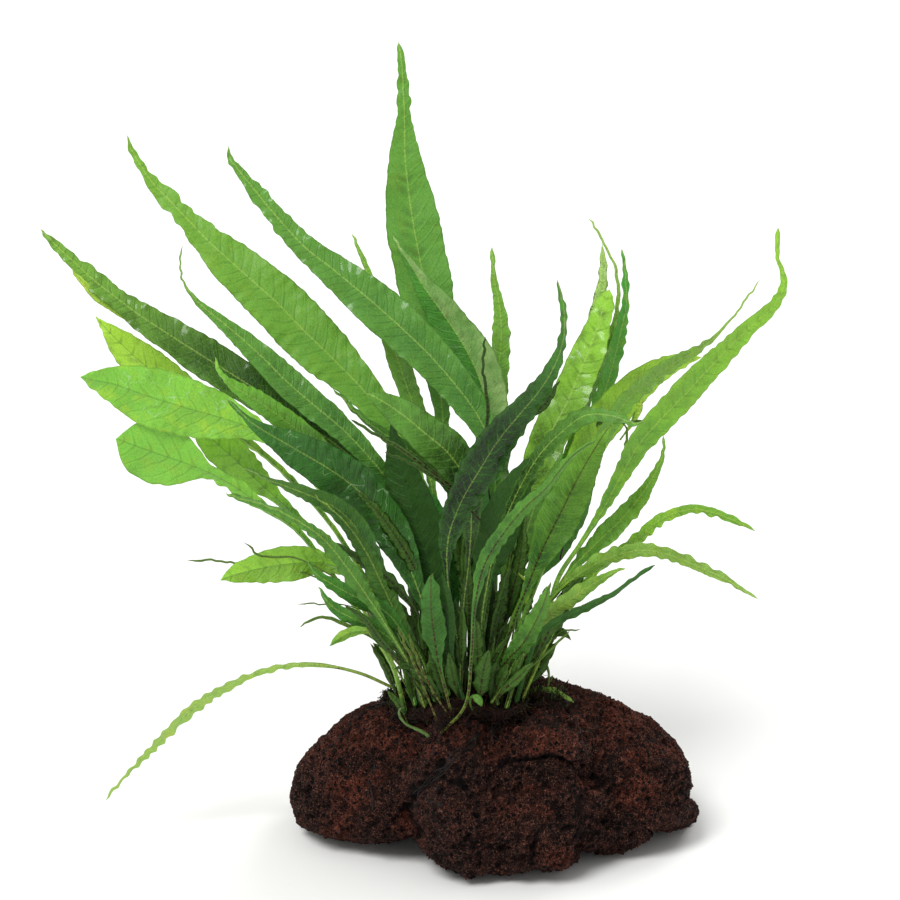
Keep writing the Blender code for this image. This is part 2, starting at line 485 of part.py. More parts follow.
def lay_frond(order, row, rhizome):
    """Return a frond's rings as pixels and depths of its left margin, midrib and right margin."""
    name, foot_x, width, turn, (stalk, belly), sharpness, colour, route = row
    foot_y = RUNNER_FOOT_ROW if name == RUNNER_FROND else FOOT_ROWS[order // FEET_IN_A_ROW]
    foot = np.array((foot_x * MM, bowed(foot_x * MM, foot_y * MM), 0.0))
    foot[2] = height_under(rhizome, foot[0], foot[1], STALK_WIDTH / 2.0) + FOOT_LIFT
    route = np.vstack((pixel(foot), route))
    length = np.sum(np.linalg.norm(np.diff(route, axis=0), axis=1)) * PIXEL
    rings = max(FEWEST_RINGS, round(length / RING_SPACING))
    share = 1.0 - (1.0 - np.linspace(0.0, 1.0, rings + 1)) ** TIP_CROWDING
    middle = through(route, share)
    along = np.gradient(middle, axis=0)
    along /= np.linalg.norm(along, axis=1)[:, None]
    across = np.column_stack((-along[:, 1], along[:, 0]))
    width *= MM
    stem = min(STALK_WIDTH, STALK_SHARE * width) * (1.0 - smoothstep((share - belly) / (1.0 - belly)))
    half = 0.5 * np.maximum(width * frond_outline(share, stalk, belly, sharpness), stem)
    half[-1] = 0.0
    last_seen = [r[0] for r in FRONDS].index(LAST_FROND_SEEN)
    lean = np.interp(order, (0, last_seen, len(FRONDS) - 1), (FRONT_LEAN, BACK_LEAN, REAR_LEAN))
    radius = np.linalg.norm(middle - middle[0], axis=1) * PIXEL / LEAN_RADIUS
    depth = foot[1] + lean * radius ** LEAN_CURVE
    slope = math.tan(math.radians(turn)) * smoothstep(2.0 * share)
    wave = WAVE * np.minimum(1.0, half / FULL_WAVE_HALF) * (-1.0) ** np.arange(rings + 1)
    fold = CHANNEL * half * (1.0 if name.startswith(UNDERSIDE_SHOWS) else -1.0)
    pixels = np.stack([middle + across * (side * half / PIXEL)[:, None] for side in (-1.0, 0.0, 1.0)], axis=1)
    depths = np.stack((depth - half * slope + fold + wave, depth, depth + half * slope + fold - wave), axis=1)
    thickness = MIDRIB_THICKNESS * (1.0 - TIP_THINNING * share ** 3)
    return {"name": name, "pixels": pixels, "depths": depths, "thickness": thickness, "colour": colour,
            "slant": 1.0 / math.cos(math.radians(turn))}


def widened(cells):
    """Return each cell's greatest value among itself and its eight neighbours."""
    padded = np.pad(cells, 1, mode="edge")
    size = cells.shape[0]
    return np.max([padded[i:i + size, j:j + size] for i in range(3) for j in range(3)], axis=0)


def part_fronds(fronds):
    """From front to back, push each frond away from the eye until it clears those in front of it."""
    size = int(2.0 * PICTURE_MIDDLE / PARTING_CELL)
    deepest = np.full((size, size), -1.0)
    for frond in fronds:
        rings = len(frond["depths"])
        place = np.linspace(0.0, rings - 1.0, FEELERS_ALONG * (rings - 1) + 1)
        low = np.minimum(place.astype(int), rings - 2)
        part = (place - low)[:, None]
        side = np.linspace(0.0, 2.0, FEELERS_ACROSS)
        near = np.minimum(side.astype(int), 1)
        offset = side - near

        def spread(values):
            values = values[:, near] * (1.0 - offset) + values[:, near + 1] * offset
            return values[low] * (1.0 - part) + values[low + 1] * part

        cells = [(spread(frond["pixels"][:, :, i]) / PARTING_CELL).astype(int) for i in (0, 1)]
        columns, rows = np.clip(cells, 0, size - 1)
        body = np.interp(place, np.arange(rings), frond["thickness"])[:, None] * 0.5 * frond["slant"]
        body = body * (1.0 - np.abs(side - 1.0))
        depth = spread(frond["depths"])
        need = np.max(widened(deepest)[rows, columns] + CLEARANCE - (depth - body), axis=1)
        gap = np.maximum(0.0, np.abs(place[:, None] - np.arange(rings)) - 1.0) * RING_SPACING
        push = np.maximum(0.0, np.max(need[:, None] - PARTING_SLOPE * gap, axis=0))
        push[0] = 0.0
        frond["depths"] = frond["depths"] + push[:, None]
        np.maximum.at(deepest, (rows, columns), spread(frond["depths"]) + body)


def make_frond(frond):
    """Loft a frond's rings into a closed blade: margins, and a midrib with its front and its back."""
    points = spot(frond["pixels"], frond["depths"])
    left, middle, right = points[:, 0], points[:, 1], points[:, 2]
    along = np.gradient(middle, axis=0)
    normal = np.cross(right - left, along)[:-1]
    normal /= np.linalg.norm(normal, axis=1)[:, None]
    raised = 0.5 * frond["thickness"][:-1, None] * normal
    vertices = np.stack((left[:-1], middle[:-1] + raised, right[:-1], middle[:-1] - raised), axis=1)
    rings = len(vertices)
    vertices = np.vstack((vertices.reshape(-1, 3), middle[-1:]))
    tip = len(vertices) - 1
    faces = [[0, 1, 2], [0, 2, 3]]
    for ring in range(rings - 1):
        low, high = 4 * ring, 4 * ring + 4
        for margin, rib in ((0, 1), (0, 3), (2, 1), (2, 3)):
            faces.append([low + margin, low + rib, high + rib])
            faces.append([low + margin, high + rib, high + margin])
    last = 4 * (rings - 1)
    faces += [[last + a, last + b, tip] for a, b in ((0, 1), (1, 2), (2, 3), (3, 0))]
    return add_piece(frond["name"], vertices, faces, frond["colour"], 0.4, smooth_angle=50.0)


def make_young_fronds(ground):
    """Coil the young fronds that lie close to the stone, each a soft round stalk ending in a curl."""
    for name, foot, radii, sides, colour, route in YOUNG_FRONDS:
        foot = np.array(foot) * MM
        rise = height_under(ground, foot[0], foot[1], radii[0] * MM) + radii[0] * MM + GAP
        route = np.vstack((pixel((foot[0], foot[1], rise)), route))
        line = through(route, np.linspace(0.0, 1.0, YOUNG_RINGS))
        centre = spot(line, np.full(YOUNG_RINGS, foot[1]))
        radii = np.interp(np.linspace(0.0, 1.0, YOUNG_RINGS), np.linspace(0.0, 1.0, len(radii)), radii)
        add_piece(name, *tube(centre, radii * MM, sides), colour, 0.45)


def main():
    for old in list(bpy.data.objects):
        bpy.data.objects.remove(old, do_unlink=True)
    stone = make_stone()
    branches = make_rhizome(stone)
    ground = surface_of([stone] + branches)
    fronds = [lay_frond(order, row, ground) for order, row in enumerate(FRONDS)]
    part_fronds(fronds)
    for frond in fronds:
        make_frond(frond)
    make_young_fronds(ground)


main()
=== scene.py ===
# %% [markdown]
# # A java fern grown on a lump of lava stone
#
# Java fern is a water plant with no true stem above ground. A creeping stem, the rhizome, clings to stone
# or wood with black root hairs, and every leaf, called a frond, rises from it on a thin stalk. The frame
# loaded here already holds each piece at its real size and place, with few faces. This script grows the
# fine surface over it: crimped and quilted fronds, porous lava, roots, and the mat of fibres round the
# rhizome.

# %% Load the frame
import json
import math

import bmesh
import bpy
import numpy as np
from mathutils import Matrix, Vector, noise
from mathutils.bvhtree import BVHTree
from mathutils.kdtree import KDTree

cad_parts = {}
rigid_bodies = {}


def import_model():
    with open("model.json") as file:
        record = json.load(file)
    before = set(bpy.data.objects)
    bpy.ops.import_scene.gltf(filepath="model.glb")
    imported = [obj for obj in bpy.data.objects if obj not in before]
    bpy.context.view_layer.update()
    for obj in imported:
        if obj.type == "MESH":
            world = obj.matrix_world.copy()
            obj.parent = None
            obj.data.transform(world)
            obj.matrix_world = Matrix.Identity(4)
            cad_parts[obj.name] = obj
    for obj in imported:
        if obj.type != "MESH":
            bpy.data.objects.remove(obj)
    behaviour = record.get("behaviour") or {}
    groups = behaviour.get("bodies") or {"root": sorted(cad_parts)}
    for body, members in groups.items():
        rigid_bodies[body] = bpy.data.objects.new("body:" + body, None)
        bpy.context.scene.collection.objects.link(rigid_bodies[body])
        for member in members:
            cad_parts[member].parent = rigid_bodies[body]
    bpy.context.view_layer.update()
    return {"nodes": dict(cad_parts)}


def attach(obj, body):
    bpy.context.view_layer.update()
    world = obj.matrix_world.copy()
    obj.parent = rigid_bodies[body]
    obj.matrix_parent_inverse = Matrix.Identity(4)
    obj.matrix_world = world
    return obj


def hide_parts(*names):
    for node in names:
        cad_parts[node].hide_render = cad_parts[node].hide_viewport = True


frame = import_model()
MM = 0.001

# %% [markdown]
# ## The camera
#
# The plant was photographed from a little above with a long lens, so its near and far leaves keep almost
# the same scale. A 120 mm lens at 0.9 m, tilted down 15 degrees, gives that flat, calm look, and the same
# numbers tell where a pixel of the picture lies in space, which places the roots later.

# %% Set up the camera
VIEW_DISTANCE = 0.900
VIEW_TILT = math.radians(15.0)
VIEW_AIM = np.array((-0.0135, 0.0, 0.1265))
PICTURE_SIDE = 900.0
LENS, SENSOR = 120.0, 36.0
PICTURE_MIDDLE = PICTURE_SIDE / 2.0
PICTURE_SCALE = PICTURE_SIDE * LENS / SENSOR
VIEW_FORWARD = np.array((0.0, math.cos(VIEW_TILT), -math.sin(VIEW_TILT)))
VIEW_UPWARD = np.array((0.0, math.sin(VIEW_TILT), math.cos(VIEW_TILT)))
VIEW_ACROSS = np.array((1.0, 0.0, 0.0))
VIEW_EYE = VIEW_AIM - VIEW_DISTANCE * VIEW_FORWARD

lens = bpy.data.cameras.new("camera")
lens.lens, lens.sensor_width = LENS, SENSOR
lens.clip_start, lens.clip_end = 0.01, 100.0
camera = bpy.data.objects.new("camera", lens)
camera.location = VIEW_EYE
camera.rotation_euler = (math.pi / 2.0 - VIEW_TILT, 0.0, 0.0)
bpy.context.scene.collection.objects.link(camera)
bpy.context.scene.camera = camera


def sight(pixel):
    """Return the direction from the eye through a pixel of the picture."""
    across, upward = (pixel[0] - PICTURE_MIDDLE) / PICTURE_SCALE, (PICTURE_MIDDLE - pixel[1]) / PICTURE_SCALE
    return VIEW_FORWARD + across * VIEW_ACROSS + upward * VIEW_UPWARD


print("the eye is", [round(v, 3) for v in VIEW_EYE])

# %% [markdown]
# ## The floor and the light
#
# A plain pale table and soft studio light keep the eye on the plant. An even sky fills the shadows. The
# key is a wide soft sun from above the camera's left shoulder, which is what a big light tent gives: it
# shapes the leaves, brings the wet glints out, and lights the table evenly up to the horizon. A weaker
# one from behind on the right makes the margins glow. Colours are kept as photographed, so the plain
# "Standard" view is used.


# %% Helpers for colour and shader nodes
def linear(code):
    """Turn an sRGB hex colour into the linear red, green, blue and alpha that shaders work in."""
    shares = [int(code[i:i + 2], 16) / 255.0 for i in (1, 3, 5)]
    return [s / 12.92 if s <= 0.04045 else ((s + 0.055) / 1.055) ** 2.4 for s in shares] + [1.0]


def add(tree, kind, inputs, output=0, **settings):
    """Add a node to a tree and return one of its outputs.

    Settings are the node's own choices, and inputs gives each of its sockets a value or a link."""
    made = tree.nodes.new(kind)
    for key, value in settings.items():
        setattr(made, key, value)
    for socket, value in inputs.items():
        if isinstance(value, bpy.types.NodeSocket):
            tree.links.new(value, made.inputs[socket])
        else:
            made.inputs[socket].default_value = value
    return made.outputs[output]


def new_material(name, finish):
    """Return a new material, its node tree and its Principled shader, whose own sockets get the finish."""
    material = bpy.data.materials.new(name)
    material.use_nodes = True
    shader = material.node_tree.nodes["Principled BSDF"]
    for socket, value in finish.items():
        shader.inputs[socket].default_value = value
    return material, material.node_tree, shader


SMOOTH = {"interpolation_type": "SMOOTHSTEP"}
MIX_A, MIX_B, MIX_OUT = 6, 7, 2  # the colour sockets of a Mix node, which share their names with others


def mixed(code_a, code_b, share):
    """Return a colour between two hex colours, in linear light."""
    return [a + (b - a) * share for a, b in zip(linear(code_a), linear(code_b))]


def dimmed(colour, share):
    """Return a linear colour made darker, or brighter with a share above 1."""
    return [c * share for c in colour[:3]] + [1.0]


def lay_over(tree, colour, layers):
    """Lay colours over a colour, each as strongly as its factor or its list of factors, multiplied, says."""
    for factors, over in layers:
        factor, *others = factors if isinstance(factors, list) else [factors]
        for other in others:
            factor = add(tree, "ShaderNodeMath", {0: factor, 1: other}, operation="MULTIPLY")
        puts = {0: factor, MIX_A: colour, MIX_B: over}
        colour = add(tree, "ShaderNodeMix", puts, MIX_OUT, data_type="RGBA")
    return colour


def connect(tree, shader, colour, roughness, height, depth, strength=1.0):
    """Give a shader its colour, its roughness, and a relief of some depth (m) from a height of 0 to 1."""
    relief = {"Height": height, "Strength": strength, "Distance": depth}
    normal = add(tree, "ShaderNodeBump", relief, "Normal")
    for name, value in (("Base Color", colour), ("Roughness", roughness), ("Normal", normal)):
        if isinstance(value, bpy.types.NodeSocket):
            tree.links.new(value, shader.inputs[name])
        else:
            shader.inputs[name].default_value = value


# %% Floor, sky and two soft suns
FLOOR_HALF = 40.0
SKY_STRENGTH = 0.62
scene = bpy.context.scene
scene.view_settings.view_transform = "Standard"

floor_mesh = bpy.data.meshes.new("floor")
floor_mesh.from_pydata([(x, y, 0.0) for x, y in ((-FLOOR_HALF, -FLOOR_HALF), (FLOOR_HALF, -FLOOR_HALF),
                                                 (FLOOR_HALF, FLOOR_HALF), (-FLOOR_HALF, FLOOR_HALF))],
                       [], [(0, 1, 2, 3)])
floor = bpy.data.objects.new("floor", floor_mesh)
scene.collection.objects.link(floor)
paper, tree, shader = new_material("matt_white_paper", {"Specular IOR Level": 0.1})
grain = add(tree, "ShaderNodeTexNoise", {"Scale": 900.0, "Detail": 2.0})
connect(tree, shader, linear("#f4f4f2"), 0.9, grain, 0.2 * MM, 0.05)
floor_mesh.materials.append(paper)

sky = bpy.data.worlds.new("sky")
sky.use_nodes = True
sky.node_tree.nodes["Background"].inputs["Color"].default_value = (1.0, 1.0, 1.0, 1.0)
sky.node_tree.nodes["Background"].inputs["Strength"].default_value = SKY_STRENGTH
scene.world = sky


def soft_sun(name, direction, width, strength):
    """Light the scene evenly from a direction, with shadows as soft as its width in degrees."""
    light = bpy.data.lights.new(name, "SUN")
    light.angle, light.energy = math.radians(width), strength
    lamp = bpy.data.objects.new(name, light)
    lamp.rotation_euler = (-Vector(direction)).to_track_quat("-Z", "Y").to_euler()
    scene.collection.objects.link(lamp)


soft_sun("key_sun", (-0.45, -0.75, 1.0), 24.0, 2.3)
soft_sun("back_sun", (0.7, 0.8, 0.9), 30.0, 0.9)
print("sky strength", SKY_STRENGTH)

# %% [markdown]
# ## Reading a frond from the frame
#
# In the frame each frond is a long closed strip: rings of four points (a left margin, a right margin, and
# the midrib's near and far side) that end in one tip. The fine frond has to lie exactly there, so its
# rings are read back from the mesh. The tip is the one corner that touches two other corners with four
# neighbours; walking from it towards the foot meets one ring of four after another.


# %% Find the rings of a frond
def frond_rings(node):
    """Return a frond's rings from foot to tip: left margin, near rib, right margin, far rib."""
    mesh = frame["nodes"][node].data
    corners = np.array([v.co for v in mesh.vertices])
    points, index = np.unique(corners, axis=0, return_inverse=True)
    index = index.reshape(-1)
    near = [set() for _ in points]
    for edge in mesh.edges:
        a, b = (int(index[i]) for i in edge.vertices)
        near[a].add(b)
        near[b].add(a)
    fours = [i for i, others in enumerate(near) if len(others) == 4]
    tip = next(i for i in fours if all(j in near[i] for j in fours if j != i))
    levels, seen = [{tip}], {tip}
    while len(seen) < len(points):
        levels.append(set().union(*(near[i] for i in levels[-1])) - seen)
        seen |= levels[-1]
    margins = [i for i in levels[1] if len(near[i] & levels[2]) == 1]
    ribs = [i for i in levels[1] if i not in margins]
    rings = [[tip] * 4, [margins[0], ribs[0], margins[1], ribs[1]]]
    for level in levels[2:]:
        margins = [next(iter(near[i] & level)) for i in margins]
        ribs = [next(j for j in level - set(margins) if i in near[j]) for i in ribs]
        rings.append([margins[0], ribs[0], margins[1], ribs[1]])
    rings = points[np.array(rings[::-1])]
    if np.mean((rings[:, 1] - rings[:, 3]) @ VIEW_FORWARD) > 0.0:
        rings = rings[:, (0, 3, 2, 1)]
    along = np.gradient(rings[:, 1] + rings[:, 3], axis=0)
    facing = np.cross(rings[:, 2] - rings[:, 0], along) @ VIEW_FORWARD
    return rings[:, (2, 1, 0, 3)] if np.sum(facing) > 0.0 else rings


def smooth_rows(rings, step):
    """Lay a smooth curve through the rings and return rows an even step apart, and how far along each is."""
    padded = np.concatenate((2.0 * rings[:1] - rings[1:2], rings, 2.0 * rings[-1:] - rings[-2:-1]))
    share = np.linspace(0.0, 1.0, 24, endpoint=False)[:, None, None]
    fine = []
    for a, b, c, d in zip(padded, padded[1:], padded[2:], padded[3:]):
        fine.append(0.5 * (2.0 * b + (c - a) * share + (2.0 * a - 5.0 * b + 4.0 * c - d) * share ** 2
                           + (3.0 * b - a - 3.0 * c + d) * share ** 3))
    fine = np.concatenate(fine + [rings[-1:]])
    middle = 0.5 * (fine[:, 1] + fine[:, 3])
    length = np.concatenate(((0.0,), np.cumsum(np.linalg.norm(np.diff(middle, axis=0), axis=1))))
    places = np.linspace(0.0, length[-1], max(8, round(length[-1] / step)) + 1)
    flat = fine.reshape(len(fine), -1)
    rows = np.stack([np.interp(places, length, flat[:, i]) for i in range(flat.shape[1])], axis=1)
    return rows.reshape(-1, *rings.shape[1:]), places


frond_names = sorted(n for n in frame["nodes"] if n.startswith("frond_"))
print(len(frond_names), "fronds,", "the tallest has", len(frond_rings("frond_centre_10")), "rings")

# %% [markdown]
# ## A skin over rings
#
# Fronds, roots and stalks are all long pieces with a ring of points every so often. One function skins
# such rings: quads between neighbouring rings, a cap at the foot, and a cap or a point at the end. It
# works on whole arrays, because a python loop over half a million faces would take minutes.


# %% Skin rings into a mesh
def smoothstep(value, low=0.0, high=1.0):
    """Return numbers that rise smoothly from 0 to 1 as values go from low to high."""
    value = np.clip((value - low) / (high - low), 0.0, 1.0)
    return value * value * (3.0 - 2.0 * value)


def unit(vectors):
    """Return vectors made one long."""
    return vectors / np.maximum(np.linalg.norm(vectors, axis=-1, keepdims=True), 1e-12)


def ring_quads(rows, around):
    """Return the quads between the rings of one skin."""
    ring, column = np.meshgrid(np.arange(rows - 1) * around, np.arange(around), indexing="ij")
    turned = (column + 1) % around
    quads = np.stack((ring + column, ring + turned, ring + around + turned, ring + around + column), axis=-1)
    return quads.reshape(-1, 4)


def mesh_from(name, points, quads, caps=()):
    """Make a mesh object from arrays of points and quads, with a few many-sided caps."""
    mesh = bpy.data.meshes.new(name)
    counts = np.concatenate((np.full(len(quads), 4), [len(c) for c in caps])).astype(np.int32)
    corners = np.concatenate([quads.reshape(-1)] + [np.asarray(c) for c in caps]).astype(np.int32)
    mesh.vertices.add(len(points))
    mesh.vertices.foreach_set("co", np.asarray(points, np.float32).reshape(-1))
    mesh.loops.add(len(corners))
    mesh.loops.foreach_set("vertex_index", corners)
    mesh.polygons.add(len(counts))
    mesh.polygons.foreach_set("loop_start", np.concatenate(((0,), np.cumsum(counts)[:-1])).astype(np.int32))
    mesh.update(calc_edges=True)
    mesh.validate()
    mesh.shade_smooth()
    piece = bpy.data.objects.new(name, mesh)
    scene.collection.objects.link(piece)
    return piece


def store(piece, name, values):
    """Keep a number or a vector for every point of a piece, for its material to read."""
    values = np.asarray(values, np.float32)
    kind, key = ("FLOAT_VECTOR", "vector") if values.ndim == 2 else ("FLOAT", "value")
    piece.data.attributes.new(name, kind, "POINT").data.foreach_set(key, values.reshape(-1))


# %% [markdown]
# ## The shape of a frond's blade
#
# A java fern's blade is thin and leathery, about 0.3 mm thick, with a midrib that stands out below. Side
# veins leave the midrib every 3 mm and bend forward, and the skin between them swells up in small
# pillows, which make the quilted shine. The margin grows faster than the middle, so it ripples every few
# millimetres. All of that is real shape here: each row across the blade is moved along the blade's own
# normal by the pillows and the ripple.

# %% Slow random changes along and over a blade
def wander(rng, place, spacing):
    """Return a smooth random walk between -1 and 1 along a frond, with a knot at every spacing (mm)."""
    knots = np.arange(0.0, place[-1] + 2.0 * spacing, spacing)
    low = np.minimum((place / spacing).astype(int), len(knots) - 2)
    values = rng.uniform(-1.0, 1.0, len(knots))
    return values[low] + (values[low + 1] - values[low]) * smoothstep(place / spacing - low)


def clouds(rng, x, y, size):
    """Return smooth random values between -1 and 1 over a sheet, in patches of a size (mm)."""
    x, y = (x - x.min()) / size, (y - y.min()) / size
    knots = rng.uniform(-1.0, 1.0, (int(y.max()) + 2, int(x.max()) + 2))
    column, row = x.astype(int), y.astype(int)
    right, up = smoothstep(x - column), smoothstep(y - row)
    lower = knots[row, column] * (1.0 - right) + knots[row, column + 1] * right
    upper = knots[row + 1, column] * (1.0 - right) + knots[row + 1, column + 1] * right
    return lower * (1.0 - up) + upper * up


# %% The sizes of a blade
ROW_STEP = 0.64 * MM
BLADE_HALF_THICKNESS = 0.14 * MM
UPPER_RIB, UPPER_RIB_WIDTH = 0.10 * MM, 0.38 * MM
UNDER_RIB, UNDER_RIB_WIDTH = 0.42, 0.55 * MM
STALK_RIB = 0.40
VEIN_SPACING = 3.1
VEIN_SLANT, VEIN_BEND, VEIN_STRAY = 0.62, 0.035, (1.6, 0.7)
PILLOW, DENTS = 0.42 * MM, 0.22
TOOTH, TOOTH_SPACING = 0.13 * MM, 1.9
RIPPLE, RIPPLE_SPACING = 0.42 * MM, 4.6
WARP, CRINKLE = 0.5 * MM, 0.32 * MM
SWELLING = 0.07
TIP_END = 2.2 * MM
STALK_SLIMNESS, STALK_HALF = 0.30, 0.5 * MM
WIDE_HALF, WIDE_COLUMNS, NARROW_COLUMNS = 3.2 * MM, 7, 5
FOLD_ROUNDNESS = 0.12
COLUMN_CROWDING = 1.35
# Between which half widths each effect goes from a slim stalk's to a broad blade's.
SLIM_WIDTHS, SWELLING_WIDTHS = (1.0 * MM, 2.2 * MM), (1.0 * MM, 3.0 * MM)
THIN_END_WIDTHS, PILLOW_WIDTHS = (0.7 * MM, 1.8 * MM), (1.2 * MM, 4.5 * MM)
MARGIN_WIDTHS, WARP_WIDTHS, RIB_WIDTHS = (0.5 * MM, 1.8 * MM), (1.5 * MM, 5.0 * MM), (1.0 * MM, 2.6 * MM)
# How many millimetres apart the random changes of each kind lie.
SWELLING_WALK, FRAY_WALK, CRINKLE_WALKS, VEIN_WALKS = 11.0, 3.0, (1.5, 2.2), (9.0, 3.6)
PUFF_CLOUDS, DENT_CLOUDS, TOOTH_WALKS, RIPPLE_WALKS, WARP_WALK = 5.5, 1.9, (7.0, 1.7), (13.0, 9.0, 2.1), 16.0


# %% The spine of a blade
def blade_spine(rng, rings, step, tip, stalk_end):
    """Return a blade's rows from foot to tip.

    Each row has its middle, directions, fold, thickness and half width, and how far along it is."""
    rows, place = smooth_rows(rings, step)
    middle = 0.5 * (rows[:, 1] + rows[:, 3])
    half = 0.5 * (rows[:, 2] - rows[:, 0])
    fold = 0.5 * (rows[:, 2] + rows[:, 0]) - middle
    width = np.maximum(np.linalg.norm(half, axis=1), 1e-6)
    thick = np.linalg.norm(rows[:, 1] - rows[:, 3], axis=1)
    outward = unit(half)
    outward[-1] = outward[-2]
    normal = unit(np.cross(outward, unit(np.gradient(middle, axis=0))))
    share, s_mm = place / place[-1], place / MM

    slim = (1.0 - smoothstep(width, *SLIM_WIDTHS)) * (1.0 - smoothstep(share, 0.3, 0.6))
    swell = 1.0 + SWELLING * wander(rng, s_mm, SWELLING_WALK) * smoothstep(width, *SWELLING_WIDTHS)
    to_go = place[-1] - place
    end = (tip[0] * MM + tip[1] * to_go) * smoothstep(to_go, -0.4 * MM, TIP_END) * smoothstep(share, 0.5, 0.7)
    end *= 1.0 + 0.25 * wander(rng, s_mm, FRAY_WALK)
    width = np.maximum(width * (1.0 - STALK_SLIMNESS * slim) * swell, np.minimum(end, 0.5 * width.max()))
    bare = 1.0 - smoothstep(share, 0.75 * stalk_end, stalk_end + 1e-6)
    width = width + (np.minimum(width, STALK_HALF) - width) * bare
    thin_end = (smoothstep(share, 0.55, 0.75) * (1.0 - smoothstep(width, *THIN_END_WIDTHS)))[:, None]
    crinkle = outward * wander(rng, s_mm, CRINKLE_WALKS[0])[:, None]
    crinkle = crinkle + normal * wander(rng, s_mm, CRINKLE_WALKS[1])[:, None]
    return middle + CRINKLE * thin_end * crinkle, outward, normal, fold, thick, width, share, s_mm


# %% The relief of a blade
def blade_relief(rng, width, share, s_mm, across, ripple, pillow, veins):
    """Return the relief over a blade's sheet: the number of the nearest vein, pillows, teeth, and waves."""
    rim = np.abs(across)[None, :] * np.ones((len(width), 1))
    x = across[None, :] * width[:, None]
    x_mm = np.abs(x) / MM
    sheet_y = np.broadcast_to(s_mm[:, None], x.shape)

    broad = smoothstep(width, *PILLOW_WIDTHS)[:, None]
    stray = VEIN_STRAY[0] * wander(rng, s_mm, VEIN_WALKS[0])[:, None]
    stray = stray + VEIN_STRAY[1] * clouds(rng, x / MM, sheet_y, VEIN_WALKS[1])
    vein = (s_mm[:, None] + stray - VEIN_SLANT * x_mm - VEIN_BEND * x_mm ** 2) / veins
    body = smoothstep(rim, 0.03, 0.35) * smoothstep(1.0 - rim, 0.0, 0.35)
    puff = 0.55 + 0.45 * clouds(rng, x / MM, sheet_y, PUFF_CLOUDS)
    dents = clouds(rng, x / MM, sheet_y, DENT_CLOUDS)
    lift = pillow * PILLOW * broad * body * (puff * (np.sin(math.pi * vein) ** 2 - 0.3) + DENTS * dents)
    left = (across < 0.0)[None, :]

    def each_side(spacing):
        """Return a walk for the left margin and another for the right one, as two halves of a sheet."""
        return np.where(left, wander(rng, s_mm, spacing)[:, None], wander(rng, s_mm, spacing)[:, None])

    present = smoothstep(width, *MARGIN_WIDTHS)[:, None] * smoothstep(share, 0.1, 0.3)[:, None]
    pace = s_mm[:, None] / TOOTH_SPACING + 0.9 * each_side(TOOTH_WALKS[0])
    wave_pace = s_mm[:, None] / RIPPLE_SPACING + 0.8 * each_side(RIPPLE_WALKS[0])
    teeth = (ripple * TOOTH * present * rim ** 6
             * (1.5 * each_side(TOOTH_WALKS[1]) + 0.7 * np.abs(np.sin(math.pi * pace))))
    crimp = (ripple * RIPPLE * present * rim ** 2.5 * (0.55 + 0.45 * each_side(RIPPLE_WALKS[1]))
             * (np.sin(2.0 * math.pi * wave_pace) + 0.5 * each_side(RIPPLE_WALKS[2])))
    warp = WARP * smoothstep(width, *WARP_WIDTHS)[:, None] * rim ** 1.5 * each_side(WARP_WALK)
    return x, rim, vein, lift, np.sign(across)[None, :] * teeth, crimp, warp


